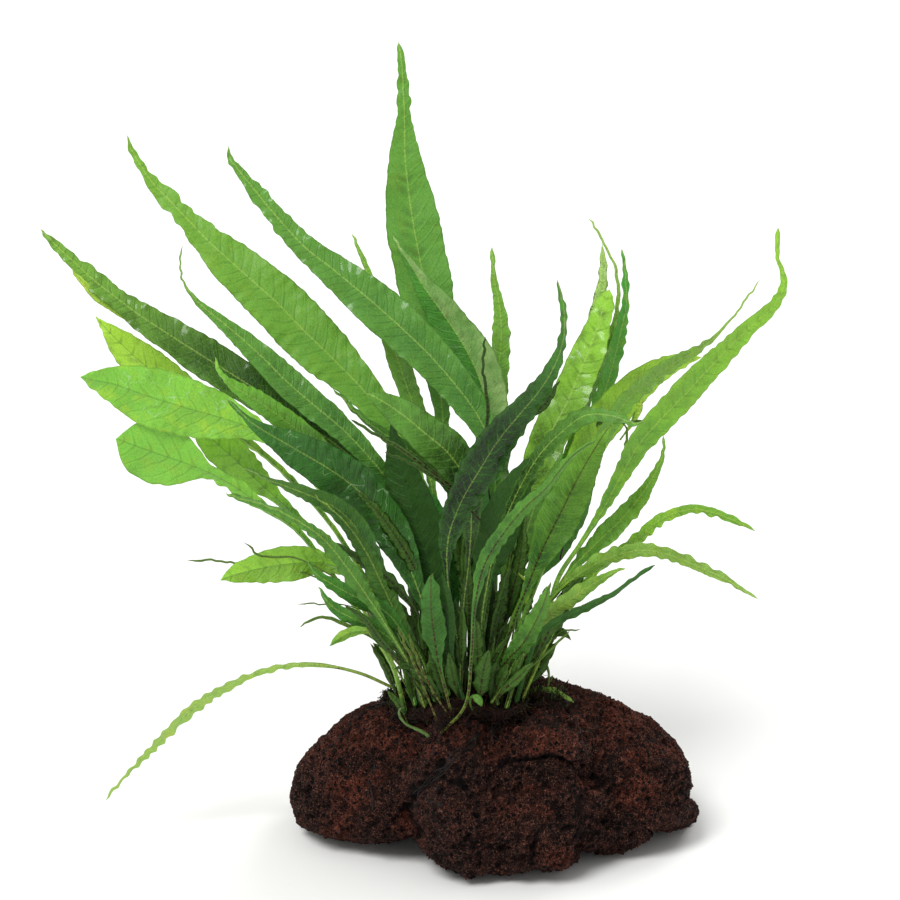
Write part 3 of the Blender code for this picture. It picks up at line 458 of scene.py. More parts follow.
# %% Grow a blade over a frond's rings
def grow_blade(rings, upper_near, seed, ripple=1.0, pillow=1.0, tip=(0.5, 0.06), painted_shade_and_tone=0.0, step=ROW_STEP,
               columns=0, stalk_end=0.0, veins=VEIN_SPACING):
    """Return the skin of one frond from its rings; upper_near says that its upper side faces the camera."""
    rng = np.random.default_rng(seed)
    middle, outward, normal, fold, thick, width, share, s_mm = blade_spine(rng, rings, step, tip, stalk_end)
    half = outward * width[:, None]
    upper = 1.0 if upper_near else -1.0
    columns = columns or (WIDE_COLUMNS if width.max() > WIDE_HALF else NARROW_COLUMNS)
    side = (np.arange(columns + 1) / columns) ** COLUMN_CROWDING
    across = np.concatenate((-side[::-1], side[1:]))
    x, rim, vein, lift, teeth, crimp, warp = blade_relief(rng, width, share, s_mm, across, ripple, pillow,
                                                          veins)

    round_fold = (np.sqrt(across ** 2 + FOLD_ROUNDNESS ** 2) - FOLD_ROUNDNESS) / (
        math.sqrt(1.0 + FOLD_ROUNDNESS ** 2) - FOLD_ROUNDNESS)
    sheet = (middle[:, None] + half[:, None] * across[None, :, None]
             + fold[:, None] * round_fold[None, :, None] + outward[:, None] * teeth[..., None]
             + normal[:, None] * (upper * lift + crimp + warp)[..., None])
    stalk = 1.0 - smoothstep(width, *RIB_WIDTHS)[:, None]
    skin = np.minimum(BLADE_HALF_THICKNESS, 0.35 * width)[:, None] * (1.0 - rim ** 4)
    ridge = stalk * STALK_RIB * thick[:, None] + (1.0 - stalk) * UPPER_RIB
    above = skin + ridge * np.exp(-(x / UPPER_RIB_WIDTH) ** 2)
    below = skin + UNDER_RIB * thick[:, None] * np.exp(-(x / UNDER_RIB_WIDTH) ** 2)
    above[:, (0, -1)] = 0.0
    near_side, far_side = (above, below) if upper_near else (below, above)
    near_sheet = sheet + normal[:, None] * near_side[..., None]
    far_sheet = (sheet - normal[:, None] * far_side[..., None])[:, -2:0:-1]
    points = np.concatenate((near_sheet, far_sheet), axis=1)[:-1]
    ring_count, around = points.shape[:2]
    vertices = np.concatenate((points.reshape(-1, 3), middle[-1:]))

    wrap = np.concatenate((np.arange(len(across)), np.arange(len(across) - 2, 0, -1)))
    last = (ring_count - 1) * around
    caps = [list(range(around))[::-1]]
    caps += [(last + i, last + (i + 1) % around, len(vertices) - 1) for i in range(around)]
    facing = np.concatenate((np.ones(len(across)), -np.ones(len(across) - 2))) * upper
    facing[[0, len(across) - 1]] = 0.0
    margin = np.where(wrap == 0, 1, np.where(wrap == len(across) - 1, 2, 0))

    def spread(values, at_tip):
        """Return a number for each point of the skin, from numbers over the sheet and the one at the tip."""
        return np.append(np.broadcast_to(values, x.shape)[:-1, wrap].reshape(-1), at_tip)

    return {"points": vertices, "quads": ring_quads(ring_count, around), "caps": caps,
            "margin": np.append(np.tile(margin, ring_count), 0),
            "place": np.stack((spread(x / MM, 0.0), spread(s_mm[:, None], s_mm[-1]),
                               spread(share[:, None], 1.0)), axis=1),
            "rim": spread(rim, 0.0), "vein": spread(vein, vein[-1, columns]),
            "side": np.append(np.tile(facing, ring_count), 0.0), "painted_shade_and_tone": np.full(len(vertices), painted_shade_and_tone)}


# %% [markdown]
# ## From skins to pieces
#
# A piece may hold one skin or hundreds, so they are joined as arrays before a mesh is made. The numbers kept
# with each point tell the leaf material where it is on the blade. Both margins of a blade are marked as
# sharp, so that the light breaks there as on a real leaf's thin edge.

# %% Join skins and crease their margins
def join_skins(name, skins, kept):
    """Make one piece from several skins, and keep their numbers for the material."""
    starts = np.cumsum([0] + [len(skin["points"]) for skin in skins])
    quads = [skin["quads"] + start for skin, start in zip(skins, starts)]
    caps = [[i + int(start) for i in cap] for skin, start in zip(skins, starts) for cap in skin["caps"]]
    piece = mesh_from(name, np.concatenate([skin["points"] for skin in skins]), np.concatenate(quads), caps)
    for key in kept:
        store(piece, key, np.concatenate([skin[key] for skin in skins]))
    return piece


def crease_margins(piece, margin):
    """Mark the edges along both margins of a blade as sharp."""
    ends = np.zeros(len(piece.data.edges) * 2, np.int32)
    piece.data.edges.foreach_get("vertices", ends)
    sides = margin[ends.reshape(-1, 2)]
    sharp = (sides[:, 0] == sides[:, 1]) & (sides[:, 0] > 0)
    piece.data.attributes.new("sharp_edge", "BOOLEAN", "EDGE").data.foreach_set("value", sharp)


LEAF_NUMBERS = ("place", "rim", "vein", "side", "painted_shade_and_tone")


# %% [markdown]
# ## The fern leaf material
#
# Java fern leaf is a waxy, wet, half-clear green skin. The light that goes through it is drawn by colour:
# young parts, tips and margins are yellow-green, old parts are deep green, and the skin between the veins is
# darkened by painted shade.
# The midrib is a fine line, pale on the upper side and dark or dotted brown below, and the stalks carry
# brown scales. Its wax has an IOR of about 1.45, and a film of water makes it shine, which the coat stands
# for. The pattern's scale is real: veins 3 mm apart, a net of cells 1.7 mm wide, and a finer one in it.
#
# Each pattern is a mask from 0 to 1. One table makes them all, with one Map Range node a row, because they
# differ only in what they read and where they begin and end. A second table lays the colours over each
# other, from the blade's green up to the scales and a painted pale glint at the rim of the water film.

# %% Sizes (mm) and colours of the leaf's patterns
MIDRIB_LINE, VEIN_LINE = (0.10, 0.34), (0.02, 0.15)
CELL, FINE_CELL = (1.7, 0.10), (0.62, 0.14)
BLOTCH_SIZE, DRIFT_SIZE, SPECKLE_SIZE = 8.0, 2.6, 0.5
SCALE_SPACING, BEAD_SPACING, FILM_SIZE = 1.3, 1.15, 5.0
NET_STRAY = (1.6, 1.6, 0.0)
LEAF_BUMP, LEAF_BUMP_STRENGTH = 0.22 * MM, 0.65
BLACK = (0.0, 0.0, 0.0, 1.0)
SCALE_BROWN, BEAD_BROWN, SHADE_GREEN, FILM_RIM_GLINT = "#3a2a18", "#30120a", "#122b12", "#bcd6ae"
SUNNED = (1.55, 1.15, 0.8, 1.0)


# %% Make a fern leaf material
def fern_leaf(name, body, tip, foot, rib, beaded=False, wet=False, dark_veins=False, late_tip=False,
              painted_sheen_colour=None):
    """Return the material of a frond from the hex colours of its body, tip, foot and midrib.

    A beaded midrib has brown scales in a row. A wet leaf shines, and a filmed one has a painted pale glint
    where its water ends.
    Veins are darker than the blade or paler, and one half of a folded blade may be painted paler, as a sheen."""
    material, tree, shader = new_material("waxy_fern_leaf_" + name, {
        "IOR": 1.45, "Specular IOR Level": 0.20, "Coat Weight": 0.4 if wet else 0.1,
        "Coat Roughness": 0.12 if wet else 0.25, "Coat IOR": 1.33})
    place = add(tree, "ShaderNodeAttribute", {}, "Vector", attribute_name="place")
    rim, vein, side, painted_shade_and_tone = (add(tree, "ShaderNodeAttribute", {}, "Fac", attribute_name=key)
                             for key in ("rim", "vein", "side", "painted_shade_and_tone"))
    x, y, share = (add(tree, "ShaderNodeSeparateXYZ", {0: place}, axis) for axis in "XYZ")
    drift = add(tree, "ShaderNodeTexNoise", {"Vector": place, "Scale": 1.0 / DRIFT_SIZE, "Detail": 2.0},
                "Color")
    bent = add(tree, "ShaderNodeVectorMath", {0: drift, 1: NET_STRAY, 2: place}, operation="MULTIPLY_ADD")
    blotch = add(tree, "ShaderNodeTexNoise", {"Vector": place, "Scale": 1.0 / BLOTCH_SIZE, "Detail": 4.0})
    speckle = add(tree, "ShaderNodeTexNoise", {"Vector": place, "Scale": 1.0 / SPECKLE_SIZE, "Detail": 2.0})
    film = add(tree, "ShaderNodeTexNoise", {"Vector": bent, "Scale": 1.0 / FILM_SIZE, "Detail": 1.0})
    off_film = add(tree, "ShaderNodeMath", {0: film, 1: 0.5}, operation="SUBTRACT")
    off_film = add(tree, "ShaderNodeMath", {0: off_film}, operation="ABSOLUTE")
    off_vein = add(tree, "ShaderNodeMath", {0: vein, 1: 0.5}, operation="PINGPONG")
    off_rib = add(tree, "ShaderNodeMath", {0: x}, operation="ABSOLUTE")
    off_scale = add(tree, "ShaderNodeTexVoronoi", {"Vector": place, "Scale": 1.0 / SCALE_SPACING})
    off_bead = add(tree, "ShaderNodeTexVoronoi", {"W": y, "Scale": 1.0 / BEAD_SPACING},
                   voronoi_dimensions="1D")
    off_cell, off_fine_cell = (
        add(tree, "ShaderNodeTexVoronoi", {"Vector": bent, "Scale": 1.0 / size}, feature="DISTANCE_TO_EDGE",
            voronoi_dimensions="2D") for size in (CELL[0], FINE_CELL[0]))

    mask = {}
    # Each: what the mask reads, the two values between which it changes, and its strength at both.
    for key, value, low, high, before, after in (
            ("net", off_cell, 0.0, CELL[1], 1.0, 0.0),
            ("fine_net", off_fine_cell, 0.0, FINE_CELL[1], 1.0, 0.0),
            ("vein_line", off_vein, *VEIN_LINE, 1.0, 0.0),
            ("hollow", off_vein, 0.10, 0.42, 0.0, 1.0),
            ("inner", rim, 0.08, 0.75, 1.0, 0.0),
            ("outer", rim, 0.60, 1.0, 0.0, 0.5),
            ("edge_line", rim, 0.92, 0.99, 0.0, 0.45),
            ("rib_line", off_rib, *MIDRIB_LINE, 0.7 if beaded else 0.42, 0.0),
            ("on_rib", off_rib, 0.16, 0.42, 1.0, 0.0),
            ("on_stalk", off_rib, 0.9, 1.5, 1.0, 0.0),
            ("painted_sheen_half", x, -0.2, 0.3, 0.0, 0.9 if painted_sheen_colour else 0.0),
            ("from_foot", share, 0.06, 0.34, 0.0, 1.0),
            ("to_tip", share, *((0.60, 0.92) if late_tip else (0.45, 1.0)), 0.0, 1.0),
            ("scaly", share, 0.12, 0.34, 0.9, 0.0),
            ("worn_off", share, 0.45, 0.85, 1.0, 0.15),
            ("scale", off_scale, 0.16, 0.30, 1.0, 0.0),
            ("bead", off_bead, 0.20, 0.40, 0.95 if beaded else 0.0, 0.0),
            ("gap", drift, 0.36, 0.50, 0.25, 1.0),
            ("broken", speckle, 0.35, 0.55, 0.25, 1.0),
            ("dark_speck", speckle, 0.50, 0.34, 0.0, 0.2),
            ("cloudy", blotch, 0.40, 0.66, 0.0, 0.45),
            ("shady", blotch, 0.62, 0.36, 0.1, 1.0),
            ("soaked", blotch, 0.50, 0.60, 0.0, 1.0),
            ("sunned", film, 0.50, 0.70, 0.0, 0.45),
            ("film_rim", off_film, 0.004, 0.018, 0.30 if wet == "filmed" else 0.0, 0.0)):
        puts = {0: value, 1: low, 2: high, 3: before, 4: after}
        mask[key] = add(tree, "ShaderNodeMapRange", puts, **SMOOTH)

    green, tip_green = linear(body), linear(tip)
    colour = linear(foot)
    # Each: the masks that are multiplied, their strength, and the colour that is laid over.
    for keys, strength, over in (
            ("from_foot", 1.0, green), ("to_tip", 1.0, tip_green), ("outer", 1.0, mixed(body, tip, 0.7)),
            ("painted_sheen_half", 1.0, linear(painted_sheen_colour or body)),
            ("sunned", 1.0, [c * more for c, more in zip(green, SUNNED)]),
            # Painted shade: the skin between the veins, near the midrib and in blotches is darkened towards
            # black.
            ("hollow inner shady", 0.10 if dark_veins else 0.32, BLACK),
            ("cloudy", 1.0, mixed(body, tip, 0.35 if late_tip else 0.9)), ("dark_speck", 1.0, BLACK),
            ("net", 0.22, dimmed(tip_green, 1.2)), ("fine_net", 0.10, dimmed(tip_green, 1.1)),
            ("vein_line inner broken", 0.45, dimmed(green, 0.5) if dark_veins else dimmed(tip_green, 1.15)),
            ("edge_line", 1.0, dimmed(green, 0.45)), ("rib_line broken", 1.0, linear(rib)),
            ("scale scaly on_stalk", 1.0, linear(SCALE_BROWN)),
            ("bead on_rib gap worn_off", 1.0, linear(BEAD_BROWN)),
            # A pale line where the water film ends is a painted glint.
            ("film_rim soaked", 1.0, linear(FILM_RIM_GLINT))):
        factors = [mask[key] for key in keys.split()] + ([strength] if strength < 1.0 else [])
        colour = lay_over(tree, colour, ((factors, over),))
    # Painted shade: the colour darkens towards a deep shade green by the share that each point keeps.
    colour = lay_over(tree, colour, ((painted_shade_and_tone, linear(SHADE_GREEN)),))
    roughness = add(tree, "ShaderNodeMapRange", {0: blotch, 1: 0.3, 2: 0.7, 3: 0.28 if wet else 0.40,
                                                 4: 0.42 if wet else 0.55})
    low = add(tree, "ShaderNodeMath", {0: mask["net"], 1: 0.5, 2: mask["vein_line"]},
              operation="MULTIPLY_ADD")
    low = add(tree, "ShaderNodeMath", {0: speckle, 1: -0.6, 2: low}, operation="MULTIPLY_ADD")
    height = add(tree, "ShaderNodeMath", {0: low, 1: side}, operation="MULTIPLY")
    connect(tree, shader, colour, roughness, height, LEAF_BUMP, LEAF_BUMP_STRENGTH)
    return material


# %% [markdown]
# ## The fronds, one by one
#
# No two fronds have the same green: the outer left ones are backlit and lime green, the ones that grew in
# the shade of the clump are bottle green, and the youngest narrow ones are yellow-green. The fronds in the
# heart of the clump and the feet of most are painted darker still, as shade of the crown. So a short palette
# of named greens comes first, and a table gives each frond its body, tip and foot from it. Where the
# underside faces the viewer, the ridge of the midrib shows dark instead of pale, and on old fronds it
# carries a row of brown scales.

# %% A palette of greens, and the colours of each frond
PALE_RIB, DARK_RIB, BROWN_RIB = "#a8c45a", "#2f5a26", "#4a2e18"
GREENS = {
    "nearly_black": "#0b1e07", "blackish": "#152c0b", "shadow": "#20360e", "deep": "#244616",
    "forest": "#2d541a", "olive_brown": "#4d4b20", "bottle": "#2f6025", "leek": "#396a29",
    "fern": "#42762e", "clover": "#3d7d2a", "olive": "#636d26", "moss": "#4f7c30",
    "grass": "#488a29", "leaf": "#558a36", "emerald": "#459438", "meadow": "#5f9535",
    "spring": "#71a437", "pale": "#87ab4e", "apple": "#77bb3d", "lime": "#8cc43a", "sunlit": "#abdc42",
}
# Each: body, tip and foot from the palette, and the midrib; the darkest bodies and feet are partly painted
# shade.
FROND_COLOURS = {
    "back_01": ("fern", "leaf", "deep", PALE_RIB),
    "back_02": ("bottle", "leek", "shadow", PALE_RIB),
    "back_03": ("moss", "meadow", "deep", PALE_RIB),
    "back_04": ("fern", "leaf", "deep", PALE_RIB),
    "back_05": ("fern", "leaf", "deep", PALE_RIB),
    "back_06": ("fern", "leaf", "deep", PALE_RIB),
    "back_07": ("meadow", "spring", "bottle", PALE_RIB),
    # These two bodies are painted nearly black, as the shade in the heart of the clump.
    "centre_01": ("nearly_black", "grass", "blackish", PALE_RIB),
    "centre_02": ("nearly_black", "meadow", "blackish", PALE_RIB),
    "centre_03": ("deep", "forest", "leek", DARK_RIB),
    "centre_04": ("deep", "leaf", "forest", PALE_RIB),
    "centre_05": ("fern", "meadow", "deep", PALE_RIB),
    "centre_06": ("clover", "emerald", "leek", DARK_RIB),
    "centre_07": ("bottle", "grass", "forest", PALE_RIB),
    "centre_08": ("meadow", "spring", "forest", PALE_RIB),
    "centre_09": ("moss", "spring", "deep", PALE_RIB),
    "centre_10": ("leaf", "meadow", "bottle", PALE_RIB),
    "front_01": ("bottle", "meadow", "olive", BROWN_RIB),
    "front_02": ("forest", "fern", "olive", BROWN_RIB),
    "front_03": ("forest", "meadow", "olive", BROWN_RIB),
    "front_04": ("deep", "forest", "blackish", DARK_RIB),
    "left_01": ("moss", "leaf", "olive_brown", PALE_RIB),
    "left_02": ("pale", "spring", "blackish", DARK_RIB),
    "left_03": ("leaf", "clover", "bottle", PALE_RIB),
    "left_04": ("leek", "grass", "forest", PALE_RIB),
    "left_05": ("moss", "forest", "deep", PALE_RIB),
    "left_06": ("bottle", "moss", "bottle", PALE_RIB),
    "left_07": ("deep", "clover", "blackish", PALE_RIB),
    "left_08": ("moss", "apple", "shadow", PALE_RIB),
    "left_09": ("lime", "apple", "grass", DARK_RIB),
    "left_10": ("spring", "lime", "olive", DARK_RIB),
    "left_11": ("pale", "pale", "olive", PALE_RIB),
    "left_12": ("spring", "apple", "olive", DARK_RIB),
    "left_13": ("leek", "meadow", "deep", PALE_RIB),
    "left_14": ("deep", "spring", "deep", PALE_RIB),
    "left_15": ("leek", "lime", "leek", DARK_RIB),
    "left_16": ("moss", "sunlit", "leaf", DARK_RIB),
    "left_17": ("meadow", "spring", "bottle", PALE_RIB),
    "right_01": ("forest", "leek", "deep", DARK_RIB),
    "right_02": ("pale", "spring", "blackish", PALE_RIB),
    "right_03": ("spring", "pale", "shadow", PALE_RIB),
    "right_04": ("lime", "spring", "olive_brown", PALE_RIB),
    "right_05": ("blackish", "meadow", "blackish", PALE_RIB),
    "right_06": ("meadow", "lime", "deep", PALE_RIB),
    "right_07": ("leek", "spring", "forest", BROWN_RIB),
    "right_08": ("meadow", "spring", "leaf", PALE_RIB),
    "right_09": ("forest", "forest", "shadow", BROWN_RIB),
    "right_10": ("apple", "pale", "clover", PALE_RIB),
    "right_11": ("meadow", "sunlit", "bottle", PALE_RIB),
    "right_12": ("deep", "lime", "fern", PALE_RIB),
    "right_13": ("spring", "emerald", "leek", PALE_RIB),
    "right_14": ("apple", "pale", "bottle", PALE_RIB),
}

# %% What sets some fronds apart
UNDERSIDE_SHOWS = ("front", "left_02", "left_09", "left_10", "left_12", "left_15", "left_16", "right_07",
                   "right_09")
GLOSSIEST = ("left_07", "left_09", "left_10", "left_12", "left_13", "left_14", "centre_01", "centre_02",
             "centre_05", "centre_07", "centre_08", "right_12")
FILMED = ("left_07", "left_09", "centre_08")
STRONG_RIPPLE = ("front_01", "front_02", "front_03", "left_01", "left_11", "centre_01", "centre_08",
                 "right_03", "right_04", "right_05", "right_07", "right_08", "right_09", "right_10",
                 "right_13", "right_14")
DEEP_PILLOWS = ("left_07", "left_13", "left_14", "left_17", "centre_01", "centre_05", "centre_07")
DARK_VEINS = ("left_02", "left_08", "left_09", "left_10", "left_12", "left_14", "left_15", "left_16",
              "left_17", "centre_05", "centre_08", "right_02", "right_04", "right_06", "right_11", "right_12")
WIDE_VEINS = ("left_09", "left_10", "left_12", "left_15", "left_16", "left_17", "centre_10", "right_06",
              "right_12")
LATE_TIPS = ("left_14", "centre_01", "centre_02", "right_05")
# A folded blade whose one half is painted pale, as the sheen it catches.
PAINTED_SHEEN_HALVES = {"centre_07": "#8fae68"}
BARE_STALKS = {"left_11": 0.22, "right_03": 0.2, "right_04": 0.2}
# Each: half the width at the very tip (mm), and how much that grows with each millimetre back from it.
TIP_SHAPES = {
    "left_13": (0.3, 0.0), "left_14": (0.6, 0.12), "left_17": (0.5, 0.09), "centre_05": (0.5, 0.10),
    "centre_09": (0.4, 0.05), "centre_10": (0.7, 0.07), "right_05": (0.4, 0.0), "right_06": (0.7, 0.0),
    "right_10": (0.22, 0.0), "right_12": (1.2, 0.6), "right_14": (0.35, 0.01),
}
print(len(GREENS), "greens for", len(FROND_COLOURS), "fronds")

# %% [markdown]
# ## Feet on the stone
#
# The stalks of three narrow fronds in front come down onto the stone itself, lower than their solids in the
# frame. So the lower part of each stalk is slimmed and bent, until its foot stands where the line of sight
# through a pixel of the picture meets the stone. Further up the blade keeps to the frame's frond.

# %% Bend a stalk to its foot
# Each: the pixel of the picture where the foot stands.
FEET = {"front_01": (441, 733), "front_02": (451, 712), "front_03": (502, 703)}
FOOT_SHARE, FOOT_SLIMNESS = 0.42, 0.6


def solid_tree(nodes):
    """Return a tree of the faces of some of the frame's nodes, for casting rays."""
    corners, faces = [], []
    for mesh in (frame["nodes"][node].data for node in nodes):
        faces += [[len(corners) + i for i in p.vertices] for p in mesh.polygons]
        corners += [v.co for v in mesh.vertices]
    return BVHTree.FromPolygons(corners, faces)


rhizomes = sorted(node for node in frame["nodes"] if node.startswith("rhizome_"))
frame_stone, frame_ground = solid_tree(["stone"]), solid_tree(["stone"] + rhizomes)


def stone_behind(pixel):
    """Return the point of the frame's stone or rhizome that a pixel of the picture shows."""
    return np.array(frame_ground.ray_cast(Vector(VIEW_EYE), Vector(sight(pixel)).normalized())[0])


def footed(rings, pixel):
    """Return the rings of a frond, whose slim stalk bends so that its foot stands on the stone at a pixel."""
    share = np.linspace(0.0, 1.0, len(rings))
    bend = (1.0 - smoothstep(share, 0.0, FOOT_SHARE))[:, None, None]
    middle = rings.mean(axis=1, keepdims=True)
    slim = middle + (rings - middle) * (1.0 - (1.0 - FOOT_SLIMNESS) * bend ** 0.5)
    return slim + bend * (stone_behind(pixel) - middle[0])


print("rhizomes:", rhizomes)


# %% Wrap a blade on every frond
def dress(piece, node, material, stands_for=True):
    """Give a piece its material, let it ride, and let it stand for the node."""
    piece.data.materials.append(material)
    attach(piece, "root")
    if stands_for:
        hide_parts(node)


triangles = 0
for number, node in enumerate(frond_names):
    short = node[len("frond_"):]
    rings = frond_rings(node)
    if short in FEET:
        rings = footed(rings, FEET[short])
    skin = grow_blade(rings, not short.startswith(UNDERSIDE_SHOWS), number,
                      ripple=1.6 if short in STRONG_RIPPLE else 1.0,
                      pillow=1.4 if short in DEEP_PILLOWS else 0.9, tip=TIP_SHAPES.get(short, (0.5, 0.05)),
                      stalk_end=BARE_STALKS.get(short, 0.0),
                      veins=(1.5 if short in WIDE_VEINS else 1.0) * VEIN_SPACING)
    blade = join_skins("blade_" + short, [skin], LEAF_NUMBERS)
    crease_margins(blade, skin["margin"])
    *greens, rib = FROND_COLOURS[short]
    leaf = fern_leaf(short, *(GREENS[green] for green in greens), rib, beaded=rib == BROWN_RIB,
                     wet="filmed" if short in FILMED else short in GLOSSIEST, dark_veins=short in DARK_VEINS,
                     late_tip=short in LATE_TIPS, painted_sheen_colour=PAINTED_SHEEN_HALVES.get(short))
    dress(blade, node, leaf)
    triangles += sum(len(p.vertices) - 2 for p in blade.data.polygons)
print(len(frond_names), "blades,", triangles, "triangles")

# %% [markdown]
# ## Leaves that fill the crown
#
# Between the big fronds a clump holds dozens of small ones: short dark leaves round the foot, bare
# petioles, and old leaf tips worn down to threads. In the photograph they close the crown, so hardly any
# stalk shows there. Each is a leaf over a spine. The ones that stand out are placed by pixels of the
# picture, at a depth of their own. The others grow from the rhizome in a seeded fan.

# %% Leaves over a spine
LEAF_THICKNESS, PETIOLE_HALF = 0.5 * MM, 0.42 * MM
SPINE_STEP, THREAD_STEP, LEAF_STEP = 3.5 * MM, 0.7 * MM, 1.0 * MM
THREAD_HALF = 0.6


def seen_at(pixel, depth):
    """Return the point behind a pixel of the picture that lies as far back as depth (y, in millimetres)."""
    line = sight(pixel)
    return VIEW_EYE + line * (depth * MM - VIEW_EYE[1]) / line[1]


def spine_rings(spine, half, stalk, roll, blunt):
    """Return a leaf's rings over a spine, from half its width, its share of stalk, roll and blunt end."""
    rows, place = smooth_rows(np.repeat(np.array(spine)[:, None], 4, axis=1), SPINE_STEP)
    middle = rows[:, 0]
    along = unit(np.gradient(middle, axis=0))
    facing = unit(-VIEW_FORWARD - along * (along @ -VIEW_FORWARD)[:, None])
    across = np.cross(along, facing)
    turn = math.radians(roll)
    outward = across * math.cos(turn) + facing * math.sin(turn)
    normal = np.cross(outward, along)
    share = place / place[-1]
    blade = np.clip((share - stalk) / max(1.0 - stalk, 1e-6), 0.0, 1.0)
    shape = np.sin(math.pi * np.minimum(blade * (1.0 - blunt) + 1e-6, 1.0) ** 0.75) ** 0.8
    width = np.maximum(half * shape, PETIOLE_HALF if half > PETIOLE_HALF else half)[:, None]
    width[-1] = 1e-5
    rib = normal * 0.5 * LEAF_THICKNESS * (1.0 - 0.8 * share)[:, None]
    return np.stack((middle - outward * width, middle + rib, middle + outward * width, middle - rib), axis=1)


def leaf_skin(spine, half, stalk, roll, seed, painted_shade_and_tone, blunt=0.05):
    """Return the skin of a small leaf over a spine; a very narrow one is a worn and crinkled thread."""
    fine = half < THREAD_HALF
    rings = spine_rings(spine, half * MM, stalk, roll, blunt)
    return grow_blade(rings, True, seed, ripple=3.5 if fine else 2.0, pillow=1.1,
                      tip=(0.6 * half if fine else 0.4, 0.02), painted_shade_and_tone=painted_shade_and_tone,
                      step=THREAD_STEP if fine else LEAF_STEP, columns=2 if fine else 3)


# %% The leaves and threads placed by pixels
# Each: the colours of a leaf's body, tip, foot and midrib.
DARK_LEAF = ("#38591f", "#476a26", "#2d3c14", "#2a3a14")
YOUNG_LEAF = ("#96be42", "#acce4c", "#6d8a34", "#5a8a30")
PALE_LEAF = ("#93bd62", "#a8cc70", "#6f9a48", "#7fa850")
THREAD = ("#5f7f34", "#5a8030", "#6f7a36", "#3a2e1a")
PETIOLE = ("#67742f", "#5f7c30", "#6c6b34", "#4a3a20")
CURLING = ("#4c6a2a", "#568a32", "#54602a", "#4a4a20")
